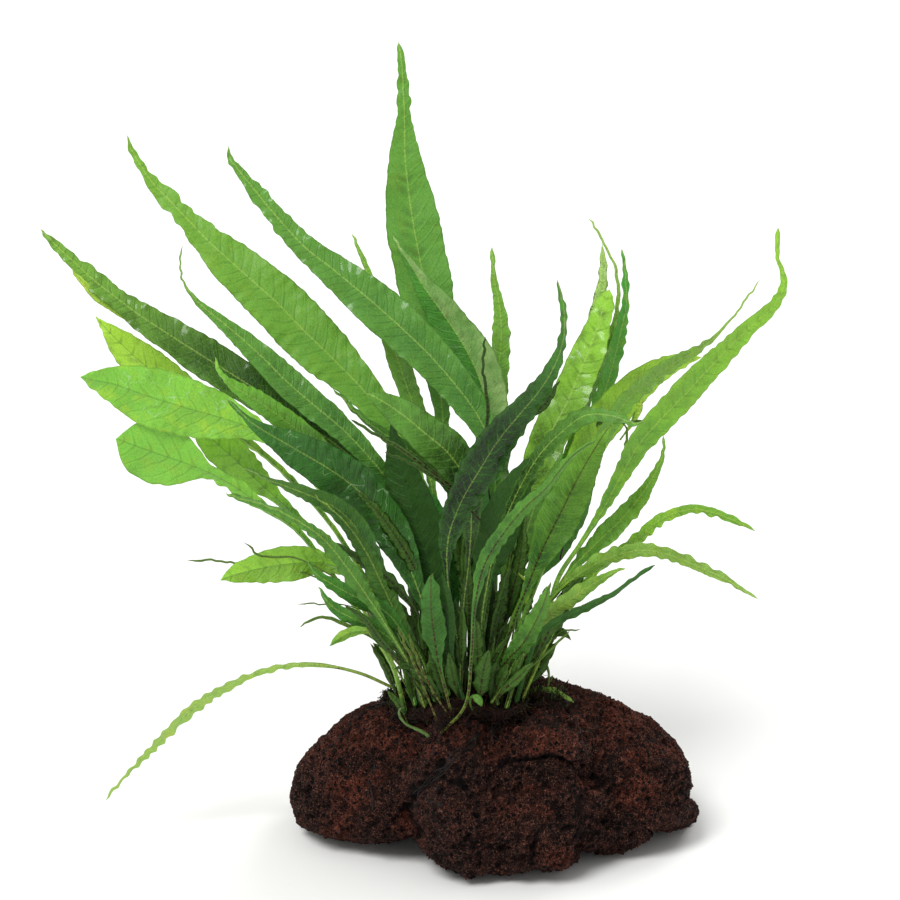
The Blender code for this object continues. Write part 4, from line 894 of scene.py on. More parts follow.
# Each: half its width (mm), share of stalk, roll (degrees), depth at the foot and at the tip (mm), pixels.
# Where the depth at the foot is None, the foot stands on the stone, and the other is counted from there.
PLACED_LEAVES = {
    "crown_small_leaves": (DARK_LEAF, (
        (2.5, 0.10, 12, -17, -22, ((479, 704), (481, 688), (484, 668), (489, 649))),
        (2.4, 0.15, 0, 10, 14, ((488, 690), (486, 652), (488, 612), (493, 572))),
        (2.0, 0.20, -25, -16, -20, ((462, 706), (456, 690), (452, 674), (449, 652))),
        (1.5, 0.20, 35, -18, -23, ((444, 712), (438, 696), (428, 680), (409, 668))),
        (1.7, 0.20, 10, -16, -22, ((494, 706), (504, 690), (520, 676), (533, 662))),
        (1.5, 0.30, 30, -14, -20, ((440, 700), (424, 676), (410, 656), (396, 648), (374, 644))),
        (1.4, 0.30, -20, -16, -22, ((438, 704), (424, 684), (413, 670), (404, 666), (393, 669))),
        (2.2, 0.30, 15, -6, -12, ((500, 690), (520, 664), (545, 640), (560, 631), (571, 641))),
        (0.6, 0.10, 10, 2, -2, ((490, 500), (484, 452), (488, 410), (483, 370), (485, 336))),
        (0.8, 0.05, 0, -14, -20, ((470, 497), (440, 478), (405, 452), (375, 434), (350, 420))),
        (0.7, 0.05, 0, -15, -22, ((480, 520), (446, 486), (412, 464), (384, 452))),
        (1.7, 0.20, 20, -10, -16, ((436, 640), (412, 606), (390, 580), (362, 560), (330, 540))),
        (2.0, 0.20, -15, -4, -8, ((440, 640), (420, 580), (398, 540), (372, 505), (345, 480))),
        (1.8, 0.20, 10, -8, -14, ((430, 660), (404, 628), (378, 600), (350, 586))),
        (2.4, 0.20, 25, 6, 2, ((500, 660), (508, 610), (520, 560), (524, 510))),
        (2.4, 0.20, -25, 4, 0, ((476, 660), (470, 610), (462, 560), (448, 505))),
        (1.2, 0.20, 0, 0, -4, ((512, 440), (527, 418), (545, 404), (560, 380))),
        (2.0, 0.25, 0, -12, -18, ((520, 690), (540, 650), (556, 616), (570, 590), (590, 566))),
        (1.2, 0.35, 10, -18, -26, ((426, 700), (402, 664), (380, 640), (366, 620), (344, 604))),
        (0.9, 0.30, 0, 12, 8, ((560, 560), (574, 500), (584, 452), (594, 424), (620, 422), (647, 421))),
    )),
    "crown_young_leaves": (YOUNG_LEAF, (
        (1.0, 0.20, 0, -2, -4, ((520, 660), (536, 628), (552, 598), (567, 574))),
        (1.0, 0.20, 0, 4, 2, ((512, 640), (518, 610), (530, 590), (518, 572))),
        (1.6, 0.20, 10, 12, 20, ((470, 640), (474, 618), (480, 604), (484, 590))),
        (1.4, 0.05, 0, 22, 20, ((150, 330), (120, 313), (98, 297), (80, 280), (71, 268))),
        (1.1, 0.10, 10, 16, 14, ((620, 440), (634, 420), (640, 400), (632, 384))),
        (0.45, 0.95, 0, -2, 6, ((418, 696), (399, 655), (388, 632), (372, 596))),
        (0.45, 0.95, 0, 0, 8, ((412, 696), (394, 664), (376, 634), (352, 590))),
    )),
    "pale_leaf_behind": (PALE_LEAF, (
        (2.4, 0.05, 5, 34, 28, ((556, 440), (572, 400), (588, 350), (597, 310), (603, 275), (603, 244))),
    )),
    "worn_threads": (THREAD, (
        (0.34, 0.5, 0, -2, -6, ((345, 590), (300, 572), (245, 563), (233, 563), (214, 560), (186, 561))),
        (0.34, 0.5, 0, -8, -14, ((340, 580), (299, 559), (277, 557), (264, 557), (256, 553), (244, 541))),
        (0.62, 0.3, 0, -16, -24, ((404, 670), (375, 640), (344, 624), (331, 619), (320, 617), (310, 620),
                                 (299, 627))),
        (0.22, 0.5, 0, -10, -16, ((380, 616), (345, 605), (320, 604), (296, 604))),
        (0.40, 0.5, 0, -4, -8, ((300, 525), (276, 511), (262, 505), (244, 498), (226, 493))),
        (0.25, 0.5, 0, -10, -14, ((540, 655), (560, 632), (570, 631), (581, 630))),
        (0.40, 0.5, 0, 4, 2, ((622, 422), (627, 430), (625, 447))),
        (0.35, 0.5, 0, -12, -18, ((500, 694), (525, 672), (548, 652), (570, 630))),
    )),
    "bare_petioles": (PETIOLE, (
        (0.50, 0.97, 0, None, -3, ((437, 720), (428, 698), (420, 677), (410, 655), (398, 626))),
        (0.50, 0.97, 0, None, -2, ((450, 717), (437, 698), (426, 678), (417, 658), (408, 632))),
        (0.45, 0.97, 0, None, -2, ((501, 704), (507, 688), (512, 672), (522, 650), (534, 622))),
        (0.45, 0.97, 0, None, -2, ((486, 704), (494, 684), (503, 668), (512, 640))),
        (0.42, 0.97, 0, None, 2, ((408, 700), (398, 680), (386, 656), (374, 628), (362, 600))),
        (0.42, 0.97, 0, None, 0, ((522, 694), (530, 676), (541, 654), (552, 632))),
    )),
    "young_leaf_curled": (CURLING, (
        (1.35, 0.66, 15, None, -6, ((480, 717), (475, 713), (471, 707), (470, 700), (473, 696), (478, 699),
                                   (482, 707))),
    )),
    "young_leaf_looped": (CURLING, (
        (0.62, 0.10, 0, None, -1, ((548, 687), (549, 676), (547, 667), (542, 662), (538, 665), (536, 672),
                                   (537, 680))),
        (0.35, 0.40, 40, None, 0, ((549, 684), (551, 680), (552, 675))),
    )),
}
# The pieces that stand for a node. The others stand for none.
STANDS_FOR = {"young_leaf_curled": "young_frond_curled", "young_leaf_looped": "young_frond_looped"}
LEAF_NODE = "frond_front_02"
FIRST_SEED, CROWN_PAINTED_SHADE, DEPTH_BEND = 100, 0.35, 1.3


def spine_of(pixels, near, far):
    """Return the points behind pixels of the picture, as their depth goes from near to far."""
    if near is None:
        near = stone_behind(pixels[0])[1] / MM
        far += near
    depths = near + (far - near) * np.linspace(0.0, 1.0, len(pixels)) ** DEPTH_BEND
    return [seen_at(pixel, depth) for pixel, depth in zip(pixels, depths)]


seed = FIRST_SEED
for name, (colours, leaves) in PLACED_LEAVES.items():
    skins = []
    for half, stalk, roll, near, far, pixels in leaves:
        seed += 1
        # The dark leaves of the crown get a painted shade of one of five depths.
        painted_shade_and_tone = CROWN_PAINTED_SHADE * ((seed * 7) % 5) / 4.0 if colours is DARK_LEAF else 0.0
        skins.append(leaf_skin(spine_of(pixels, near, far), half, stalk, roll, seed, painted_shade_and_tone))
    piece = join_skins(name, skins, LEAF_NUMBERS)
    beaded = colours in (DARK_LEAF, PETIOLE)
    dress(piece, STANDS_FOR.get(name, LEAF_NODE), fern_leaf(name, *colours, beaded), name in STANDS_FOR)
print(len(PLACED_LEAVES), "pieces of placed leaves,", seed - FIRST_SEED, "leaves")

# %% [markdown]
# ## A fan of dark leaves
#
# Behind the placed leaves the crown is a thicket that no picture shows leaf by leaf. So 72 leaves are drawn
# by chance from a seed, which gives the same ones each time: their feet stand in rows on the stone round
# the rhizome, and each leans outward as its foot lies further out. Each gets a painted shade of random depth
# in its colour, and the ones at the sides, which stand in the open, get less of it.

# %% The fan of dark leaves from the rhizome
FAN_LEAVES, FAN_SEED = 72, 200
FAN_FEET, FAN_ROW_STRAY = (-29.0, 11.0), 1.5
# Each: the depth of a row (mm), and its shortest and longest leaf.
FAN_ROWS = ((-12.0, 24.0, 38.0), (-8.0, 24.0, 46.0), (-3.0, 30.0, 56.0), (2.0, 28.0, 60.0), (7.0, 24.0, 58.0))
FAN_MIDDLE, FAN_LEAN, FAN_TILT, LEAN_STRAY, TILT_STRAY = (-8.0, -3.0), 0.012, 0.012, 0.07, 0.06
FAN_HALVES, FAN_STALKS, FAN_ROLL, FAN_PAINTED_SHADE, FAN_BLUNTS = (0.9, 2.1), (0.3, 0.5), 45.0, 0.6, (0.02, 0.2)
# How much of the painted shade the leaves in each part of the fan get.
FAN_SHADE = {"left": 0.2, "centre": 1.0, "right": 0.5}
FAN_LEFT_ENDS, FAN_RIGHT_STARTS = -16.0, -1.0
# Where the points of a spine lie, how it bends outward and droops, and how leaning shortens it.
FAN_SHARES, FAN_BEND, FAN_DROOP = (0.0, 0.3, 0.6, 0.85, 1.0), (0.6, 0.7), 0.25
FAN_SHORTER, FAN_STEEPEST = 1.2, 0.4
WELL_ABOVE = 0.1


def ground_under(x, y):
    """Return the point of the frame's stone below a place, both in millimetres."""
    return np.array(frame_stone.ray_cast(Vector((x * MM, y * MM, WELL_ABOVE)), Vector((0.0, 0.0, -1.0)))[0])


rng = np.random.default_rng(11)
fans = {name: [] for name in FAN_SHADE}
for i in range(FAN_LEAVES):
    row_y, shortest, longest = FAN_ROWS[i % len(FAN_ROWS)]
    foot_x, foot_y = rng.uniform(*FAN_FEET), row_y + rng.uniform(-FAN_ROW_STRAY, FAN_ROW_STRAY)
    lean = (foot_x - FAN_MIDDLE[0]) * FAN_LEAN + rng.normal(0.0, LEAN_STRAY)
    tilt = FAN_TILT * (foot_y - FAN_MIDDLE[1]) + rng.normal(0.0, TILT_STRAY)
    length = rng.uniform(shortest, longest) * (1.0 - FAN_SHORTER * min(abs(lean), FAN_STEEPEST))
    foot = ground_under(foot_x, foot_y)
    spine = []
    for share in FAN_SHARES:
        bend = FAN_BEND[0] + FAN_BEND[1] * share
        droop = 1.0 - FAN_DROOP * share * (abs(lean) + abs(tilt))
        spine.append(foot + share * length * MM * np.array((bend * lean, bend * tilt, droop)))
    name = "left" if foot_x < FAN_LEFT_ENDS else "centre" if foot_x < FAN_RIGHT_STARTS else "right"
    half, stalk, roll = rng.uniform(*FAN_HALVES), rng.uniform(*FAN_STALKS), rng.uniform(-FAN_ROLL, FAN_ROLL)
    painted_shade_and_tone, blunt = FAN_PAINTED_SHADE * rng.random() * FAN_SHADE[name], rng.uniform(*FAN_BLUNTS)
    fans[name].append(leaf_skin(spine, half, stalk, roll, FAN_SEED + i, painted_shade_and_tone, blunt=blunt))
crown_leaf = fern_leaf("crown_fan", *DARK_LEAF, beaded=True)
for name, skins in fans.items():
    dress(join_skins("crown_fan_" + name, skins, LEAF_NUMBERS), LEAF_NODE, crown_leaf, stands_for=False)
    print(name, "fan:", len(skins), "leaves")

# %% [markdown]
# ## The lava stone
#
# Lava stone is froth that froze: gas bubbles left it full of round pits. The frame's stone has the lumps.
# Here a fine ball of points is wrapped on it, and its rim is drawn out to the outline that the camera sees,
# which is crisper than the frame's facets.

# %% Wrap a fine grid on the stone
STONE_CELLS = 126
SMOOTHING_ROUNDS = 5
STONE_HEART = np.array((1.0, 8.0, 14.0)) * MM
STONE_OUTLINE = (
    (291, 796), (295, 780), (298, 766), (311, 750), (330, 732), (352, 713), (390, 698), (412, 684),
    (450, 675), (500, 671), (530, 673), (556, 679), (572, 685), (588, 691), (610, 699), (633, 712),
    (649, 718), (661, 729), (677, 745), (687, 764), (690, 783), (687, 797), (699, 809), (695, 822),
    (677, 831), (652, 834), (645, 828), (640, 844), (620, 854), (580, 849), (577, 860), (566, 867),
    (543, 870), (535, 866), (521, 872), (486, 872), (467, 878), (454, 870), (438, 863), (425, 850),
    (413, 835), (390, 841), (362, 842), (336, 838), (298, 825), (294, 810),
)
OUTLINE_BAND = (0.955, 0.99)


def ball_grid(cells):
    """Return unit directions on a cube's grid blown up to a ball, and the quads between them."""
    side = cells + 1
    steps = np.tan(np.linspace(-math.pi / 4.0, math.pi / 4.0, side))
    u, v = np.meshgrid(steps, steps, indexing="ij")
    flat = np.ones_like(u)
    sheets, quads = [], []
    corner = np.arange(side ** 2).reshape(side, side)
    square = np.stack((corner[:-1, :-1], corner[1:, :-1], corner[1:, 1:], corner[:-1, 1:]), axis=-1)
    for axes in ((u, v, flat), (v, u, -flat), (flat, u, v), (-flat, v, u), (v, flat, u), (u, -flat, v)):
        quads.append(square.reshape(-1, 4) + len(sheets) * side ** 2)
        sheets.append(np.stack(axes, axis=-1).reshape(-1, 3))
    points = np.concatenate(sheets)
    _, first, index = np.unique(np.round(points * 1e6).astype(np.int64), axis=0, return_index=True,
                                return_inverse=True)
    return unit(points[first]), index.reshape(-1)[np.concatenate(quads)]


def neighbour_mean(values, ends, count):
    """Return each point's mean over the points it shares an edge with."""
    a, b = ends.T
    total = np.bincount(a, values[b], count) + np.bincount(b, values[a], count)
    return total / np.bincount(ends.reshape(-1), minlength=count)


def pixels_of(points):
    """Return where points lie in the picture."""
    away = (points - VIEW_EYE) @ VIEW_FORWARD
    across = (points - VIEW_EYE) @ VIEW_ACROSS / away
    upward = (points - VIEW_EYE) @ VIEW_UPWARD / away
    return PICTURE_MIDDLE + PICTURE_SCALE * np.stack((across, -upward), axis=1)


def outline_reach(directions):
    """Return how far each direction goes from the heart until it leaves the outline in the picture."""
    heart = pixels_of(STONE_HEART[None])[0]
    off = (np.array(STONE_OUTLINE) - heart) * (1.0, -1.0)
    turn = np.arctan2(off[:, 1], off[:, 0])
    order = np.argsort(turn)
    distance = (STONE_HEART - VIEW_EYE) @ VIEW_FORWARD
    away = directions @ VIEW_FORWARD
    line = (heart - PICTURE_MIDDLE) * (1.0, -1.0) / PICTURE_SCALE
    across = directions @ VIEW_ACROSS - line[0] * away
    upward = directions @ VIEW_UPWARD - line[1] * away
    rim = np.interp(np.arctan2(upward, across), turn[order], np.hypot(off[:, 0], off[:, 1])[order],
                    period=2.0 * math.pi)
    closing = PICTURE_SCALE * np.hypot(across, upward) - rim * away
    return np.where(closing > 1.0, rim * distance / np.maximum(closing, 1.0), 1.0)


directions, stone_quads = ball_grid(STONE_CELLS)
reach = np.array([frame_stone.ray_cast(Vector(STONE_HEART), Vector(d))[3] for d in directions])
stone_ends = np.concatenate([stone_quads[:, (i, (i + 1) % 4)] for i in range(4)])
stone_ends = np.unique(np.sort(stone_ends, axis=1), axis=0)
base = reach.copy()
for _ in range(SMOOTHING_ROUNDS):
    base = neighbour_mean(base, stone_ends, len(base))
limit = outline_reach(directions)
base = np.minimum(base + (limit - base) * smoothstep(base / limit, *OUTLINE_BAND), 1.01 * limit)
stone_points = STONE_HEART + directions * base[:, None]
stone_points[:, 2] = np.maximum(stone_points[:, 2], 0.0)
moved = np.abs(base - reach).max() / MM
print("stone:", len(directions), "points; the rim moved", round(moved, 1), "mm at most")

# %% [markdown]
# ## Crumbs, cracks and bubbles
#
# Now the fine surface is worked along its own normals. Noise crumbles it into grains about 2 mm apart and
# flakes about 4 mm apart. Cracks follow lines of the picture, strayed a little by noise, and cut only the
# side that faces the camera. Last, 21,000 bubbles 0.7 to 2.4 mm wide are pressed in. Near the floor all of
# it fades, so that the stone still stands flat. What was made is kept for the material to read.

# %% Sizes of the crumbs, cracks and bubbles
CRUMB_SIZE, CRUMB_HEIGHT = 2.0 * MM, 0.7 * MM
FLAKE_SIZE, FLAKE_HEIGHT = 4.4 * MM, 0.75 * MM
BUBBLES = 21000
# A high power leaves most bubbles small, and their centres lie a share of the radius below or above.
BUBBLE_RADII, SMALL_BUBBLES = (0.34 * MM, 1.2 * MM), 3.2
# The last says how dark a bubble's inside is painted, as the shade in it.
BUBBLE_CENTRES, BUBBLE_DEPTH, BUBBLE_PAINTED_SHADE = (-0.25, 0.4), 0.95, 1.7
FLOOR_FADE = 1.0 * MM
# Each: the line of a crack in the picture's pixels, half its width in pixels, and its depth.
CRACKS = (
    (((503, 752), (508, 760), (530, 757), (545, 760), (560, 758), (588, 762)), 2.6, 2.1 * MM),
    (((559, 735), (560, 746), (559, 758)), 1.6, 0.9 * MM),
    (((437, 768), (450, 778), (466, 784)), 5.0, 1.6 * MM),
    (((416, 833), (407, 812), (412, 795), (430, 776)), 6.0, 1.6 * MM),
    (((638, 762), (648, 768), (660, 771)), 4.0, 1.5 * MM),
    (((597, 781), (606, 787)), 5.0, 1.4 * MM),
    (((300, 790), (322, 800), (350, 808)), 4.0, 0.9 * MM),
    (((585, 800), (580, 825), (579, 850)), 5.0, 1.2 * MM),
    (((535, 838), (537, 852), (535, 866)), 5.0, 1.3 * MM),
)
CRACK_STRAY_SIZE, CRACK_STRAY = 6.0 * MM, 9.0
WET_SPOT, WET_REACH = (440.0, 803.0), 11.0
# Each: the pixel where the stone is rustier, and how far that reaches.
RUST_SPOTS = ((408, 828, 16), (562, 860, 18), (392, 738, 24), (548, 738, 30), (480, 716, 34), (640, 760, 20),
              (340, 830, 20), (610, 715, 30), (640, 792, 28), (350, 790, 26))
BLOCK_MIDDLE, BLOCK_HALF, BLOCK_HEIGHT, BLOCK_RIM = (547.0, 743.0), (46.0, 15.0), 1.5 * MM, (0.7, 1.05)
# Which slopes face the camera, which face the sky and how much lighter and redder they are painted, as lit
# from above, and how deep a full crack is.
FACING, SKYWARD, TOP_PAINTED_LIGHT, FULL_CRACK = (0.0, 0.3), (0.3, 0.9), 0.7, 2.0 * MM


# %% Normals, distances and bubbles
def normals_of(points, quads):
    """Return the normal at each point of a closed skin of quads."""
    facing = np.cross(points[quads[:, 2]] - points[quads[:, 0]], points[quads[:, 3]] - points[quads[:, 1]])
    total = np.zeros_like(points)
    for corner in range(4):
        for axis in range(3):
            total[:, axis] += np.bincount(quads[:, corner], facing[:, axis], len(points))
    return unit(total)


def line_distance(pixels, line):
    """Return how far pixels are from a line of the picture."""
    line = np.array(line, float)
    nearest = np.full(len(pixels), np.inf)
    for start, end in zip(line, line[1:]):
        along = np.clip((pixels - start) @ (end - start) / ((end - start) @ (end - start)), 0.0, 1.0)
        nearest = np.minimum(nearest, np.linalg.norm(pixels - start - along[:, None] * (end - start), axis=1))
    return nearest


def press_bubbles(points, normals, rng):
    """Return how deep each point lies in a bubble, and how dark it is painted, as the shade inside the
    bubble.
    """
    finder = KDTree(len(points))
    for i, point in enumerate(points):
        finder.insert(point, i)
    finder.balance()
    depth, painted_shade = np.zeros(len(points)), np.zeros(len(points))
    for i in rng.integers(0, len(points), BUBBLES):
        radius = BUBBLE_RADII[0] + (BUBBLE_RADII[1] - BUBBLE_RADII[0]) * rng.random() ** SMALL_BUBBLES
        centre = points[i] + normals[i] * radius * rng.uniform(*BUBBLE_CENTRES)
        for spot, j, far in finder.find_range(centre, radius):
            sunk = math.sqrt(radius ** 2 - far ** 2)
            depth[j] = max(depth[j], BUBBLE_DEPTH * sunk)
            painted_shade[j] = max(painted_shade[j], min(1.0, BUBBLE_PAINTED_SHADE * sunk / radius))
    return depth, painted_shade


def rough_noise(points, size, roughness, layers):
    """Return layered noise at points; size is how far apart its coarsest lumps are."""
    return np.array([noise.fractal(Vector(p) / size, roughness, 2.1, layers) for p in points])


# %% Crumble the stone, crack it and press the bubbles in
rng = np.random.default_rng(7)
stone_normals = normals_of(stone_points, stone_quads)
crumbs = rough_noise(stone_points, CRUMB_SIZE, 0.6, 4)
flakes = 1.0 - 2.6 * np.abs(rough_noise(stone_points + 0.07, FLAKE_SIZE, 0.9, 2))
faces_camera = smoothstep(-(stone_normals @ VIEW_FORWARD), *FACING)
spots = pixels_of(stone_points)
stray = [rough_noise(stone_points + shift, CRACK_STRAY_SIZE, 0.8, 2) for shift in (0.2, 0.4)]
strayed = spots + CRACK_STRAY * np.stack(stray, axis=1)
cut = np.zeros(len(stone_points))
for line, width, depth in CRACKS:
    cut = np.maximum(cut, depth * np.exp(-(line_distance(strayed, line) / width) ** 2))
off_block = np.max(np.abs(strayed - BLOCK_MIDDLE) / BLOCK_HALF, axis=1)
block = BLOCK_HEIGHT * (1.0 - smoothstep(off_block, *BLOCK_RIM))
off_floor = smoothstep(stone_points[:, 2], 0.0, FLOOR_FADE)
shift = CRUMB_HEIGHT * crumbs + FLAKE_HEIGHT * (flakes - 0.4) + faces_camera * (block - cut)
rough = stone_points + stone_normals * (off_floor * shift)[:, None]
pit_depth, pit_painted_shade = press_bubbles(rough, normals_of(rough, stone_quads), rng)
rough -= normals_of(rough, stone_quads) * (off_floor * pit_depth)[:, None]
rough[:, 2] = np.maximum(rough[:, 2], 0.0)
stone = mesh_from("lava_stone", rough, stone_quads)
# Bubbles and cracks are painted dark by their depth, as the shade inside them.
store(stone, "pit_shade", pit_painted_shade)
# The crumbs' height, whose crests the material paints lighter, as highlights.
store(stone, "crumb", crumbs + flakes - 0.4)
store(stone, "crack_shade", faces_camera * cut / FULL_CRACK)
# Slopes that face the sky are painted lighter and redder, as lit from above; the spots below are rust.
painted_top_light_and_rust = TOP_PAINTED_LIGHT * smoothstep(stone_normals[:, 2], *SKYWARD)
for x, y, near in RUST_SPOTS:
    off_spot = np.linalg.norm(strayed - (x, y), axis=1)
    painted_top_light_and_rust = np.maximum(painted_top_light_and_rust, faces_camera * np.exp(-(off_spot / near) ** 2))
store(stone, "rust_and_top_light", painted_top_light_and_rust)
store(stone, "wet", faces_camera * np.exp(-(np.linalg.norm(spots - WET_SPOT, axis=1) / WET_REACH) ** 2))
print("bubbles:", BUBBLES, "and", round(100 * np.mean(pit_depth > 0.0)), "% of the stone pitted")

# %% [markdown]
# ## The lava material
#
# Iron in the lava rusted, so it is a dark, warm brown with rustier patches on the top and at the lower
# left, and whatever faces the sky is painted lighter and redder, as lit from above. It is a rough mineral
# with an IOR of about 1.55, but its pores swallow most of the shine. Three sizes of pores, 0.5, 1.0 and
# 1.8 mm apart, are drawn black as painted shade inside them and sunk as bump, for the ones too small to
# press in, and the pressed bubbles and the cracks are painted dark as shade too. The grit between them is
# painted lighter on its crests and in fine specks, as highlights, and a few crystals and wet spots glint.

# %% Make the lava material
# Each: how far apart the pores are, their radius as a share of that, and how dark they are painted, as the
# shade inside them.
PORE_SIZES = ((0.52 * MM, 0.30, 0.8), (0.95 * MM, 0.34, 1.0), (1.8 * MM, 0.30, 1.0))
GRIT, PATCH, GLINT = 0.42 * MM, 17.0 * MM, 1.2 * MM
PORE_STRAY, PORE_RIM = 0.35, 0.16
LAVA_BUMP = 0.9 * MM
lava, tree, shader = new_material("rough_broken_lava", {
    "IOR": 1.55, "Specular IOR Level": 0.12, "Coat Roughness": 0.12, "Coat IOR": 1.33})
where = add(tree, "ShaderNodeTexCoord", {}, "Object")
pit_shade, crumb, crack_shade, wet, rust_and_top_light = (add(tree, "ShaderNodeAttribute", {}, "Fac", attribute_name=key)
                                for key in ("pit_shade", "crumb", "crack_shade", "wet", "rust_and_top_light"))
patch, speck, glint = (
    add(tree, "ShaderNodeTexNoise",
        {"Vector": where, "Scale": 1.0 / size, "Detail": detail, "Roughness": keep})
    for size, detail, keep in ((PATCH, 5.0, 0.65), (GRIT, 3.0, 0.7), (GLINT, 1.0, 0.5)))
pore = 0.0
for size, radius, strength in PORE_SIZES:
    spacing = {"Vector": where, "Scale": 1.0 / size}
    chance = add(tree, "ShaderNodeSeparateXYZ", {0: add(tree, "ShaderNodeTexVoronoi", spacing, "Color")})
    near = add(tree, "ShaderNodeTexVoronoi", spacing)
    off = add(tree, "ShaderNodeMath", {0: chance, 1: PORE_STRAY, 2: near}, operation="MULTIPLY_ADD")
    puts = {0: off, 1: radius, 2: radius + PORE_RIM, 3: strength, 4: 0.0}
    hole = add(tree, "ShaderNodeMapRange", puts, **SMOOTH)
    pore = add(tree, "ShaderNodeMath", {0: pore, 1: hole}, operation="MAXIMUM")
colour = linear("#22100b")
# Each: what the layer reads, between which values it appears, how strong it gets, and its colour.
for value, low, high, strength, code in (
        # The second layer also paints the top lighter and redder, as lit from above.
        (patch, 0.42, 0.62, 0.6, "#44221b"), (rust_and_top_light, 0.1, 1.0, 0.7, "#632b1a"),
        # Painted highlights: bright specks of grit, and the crests of the crumbs lighter.
        (speck, 0.54, 0.65, 0.8, "#8a5f50"), (crumb, 0.1, 1.2, 0.4, "#7a4432"),
        # Dark grit specks, then painted shade: pores, pressed bubbles and cracks go near black, as their
        # insides are shaded.
        (speck, 0.50, 0.38, 0.85, "#100706"), (pore, 0.0, 1.0, 1.0, "#040202"),
        (pit_shade, 0.0, 1.0, 0.6, "#070403"), (crack_shade, 0.1, 0.8, 0.9, "#040202")):
    factor = add(tree, "ShaderNodeMapRange", {0: value, 1: low, 2: high, 3: 0.0, 4: strength}, **SMOOTH)
    colour = lay_over(tree, colour, ((factor, linear(code)),))
glint = add(tree, "ShaderNodeMath", {0: wet, 1: 0.3, 2: glint}, operation="MULTIPLY_ADD")
roughness = add(tree, "ShaderNodeMapRange", {0: glint, 1: 0.66, 2: 0.74, 3: 0.85, 4: 0.22}, **SMOOTH)
raised = add(tree, "ShaderNodeMath", {0: speck, 1: pore}, operation="SUBTRACT")
connect(tree, shader, colour, roughness, raised, LAVA_BUMP)
film = add(tree, "ShaderNodeMath", {0: wet, 1: pore}, operation="MULTIPLY")
tree.links.new(film, shader.inputs["Coat Weight"])
dress(stone, "stone", lava)
print("stone dressed, with", len(PORE_SIZES), "sizes of pores drawn")

# %% [markdown]
# ## The rhizome and the fiddlehead
#
# The rhizome is a knobbly rod, brown and scaly where it is old and bare green at its growing end, which is
# thinner and ringed. The fiddlehead is the youngest frond, still a waxy rod. The frame's rods already lie
# right, so each is rounded by subdivision and then roughened with noise along its own normals. The frame's
# other two young fronds were made above, as leaves that unroll.


# %% Round off the frame's rods
def rounded_copy(name, node, levels, bump_size, bump_height, thinner=0.0, thin_from=(-1.0, -0.9)):
    """Return a finer copy of a node, subdivided, roughened, and thinner from some x onward."""
    piece = bpy.data.objects.new(name, frame["nodes"][node].data.copy())
    piece.data.materials.clear()
    work = bmesh.new()
    work.from_mesh(piece.data)
    bmesh.ops.remove_doubles(work, verts=work.verts, dist=1e-6)
    bmesh.ops.join_triangles(work, faces=work.faces, angle_face_threshold=math.radians(40.0),
                             angle_shape_threshold=math.radians(60.0))
    work.to_mesh(piece.data)
    work.free()
    scene.collection.objects.link(piece)
    rounding = piece.modifiers.new("rounding", "SUBSURF")
    rounding.levels = rounding.render_levels = levels
    fine = bpy.data.meshes.new_from_object(piece.evaluated_get(bpy.context.evaluated_depsgraph_get()))
    piece.modifiers.clear()
    piece.data = fine
    places = np.array([v.co for v in fine.vertices])
    normals = np.array([v.normal for v in fine.vertices])
    shift = bump_height * rough_noise(places, bump_size, 0.8, 3)
    shift -= thinner * smoothstep(places[:, 0], *thin_from)
    fine.vertices.foreach_set("co", (places + normals * shift[:, None]).astype(np.float32).reshape(-1))
    fine.shade_smooth()
    return piece


# %% [markdown]
# ## Bark and waxy stalk
#
# Bark of an old rhizome is dead scales, matt and nearly black when wet. They are 1.1 mm wide here, and its
# growing end is green with a dark ring every 2.2 mm, where leaves fell off. The young stalk is as waxy as
# a leaf, and brown hairs dot it.

# %% Make both materials and dress the rods
BARK_SCALE, BARK_PATCH, BARK_BUMP = 1.1 * MM, 5.0 * MM, 0.4 * MM
HALF_RING_SPACING, RING_WIDTH, GREEN_FROM = 1.1 * MM, 0.35 * MM, (7.0 * MM, 13.0 * MM)
TIP_THINNER, TIP_THIN_FROM = 1.0 * MM, (6.0 * MM, 12.0 * MM)
ROD_LEVELS, KNOB_SIZE, KNOB_HEIGHT = 3, 3.0 * MM, 0.5 * MM
bark, tree, shader = new_material("scaly_rhizome_skin", {"Specular IOR Level": 0.12})
where = add(tree, "ShaderNodeTexCoord", {}, "Object")
scale = add(tree, "ShaderNodeTexVoronoi", {"Vector": where, "Scale": 1.0 / BARK_SCALE})
blend = add(tree, "ShaderNodeTexNoise", {"Vector": where, "Scale": 1.0 / BARK_PATCH, "Detail": 4.0})
across = add(tree, "ShaderNodeSeparateXYZ", {0: where}, "X")
green_end = add(tree, "ShaderNodeMapRange", {0: across, 1: GREEN_FROM[0], 2: GREEN_FROM[1], 3: 0.0, 4: 1.0},
                **SMOOTH)
ring = add(tree, "ShaderNodeMath", {0: across, 1: HALF_RING_SPACING}, operation="PINGPONG")
ring = add(tree, "ShaderNodeMapRange", {0: ring, 1: 0.0, 2: RING_WIDTH, 3: 0.75, 4: 0.0}, **SMOOTH)
colour = lay_over(tree, linear("#120906"), ((blend, linear("#26140b")), (green_end, linear("#6a8a38")),
                                            ([ring, green_end], linear("#2f4a1c"))))
connect(tree, shader, colour, 0.75, scale, BARK_BUMP)
for node in rhizomes:
    bare_tip = {"thinner": TIP_THINNER, "thin_from": TIP_THIN_FROM} if node == "rhizome_main_stem" else {}
    dress(rounded_copy("scaly_" + node, node, ROD_LEVELS, KNOB_SIZE, KNOB_HEIGHT, **bare_tip), node, bark)

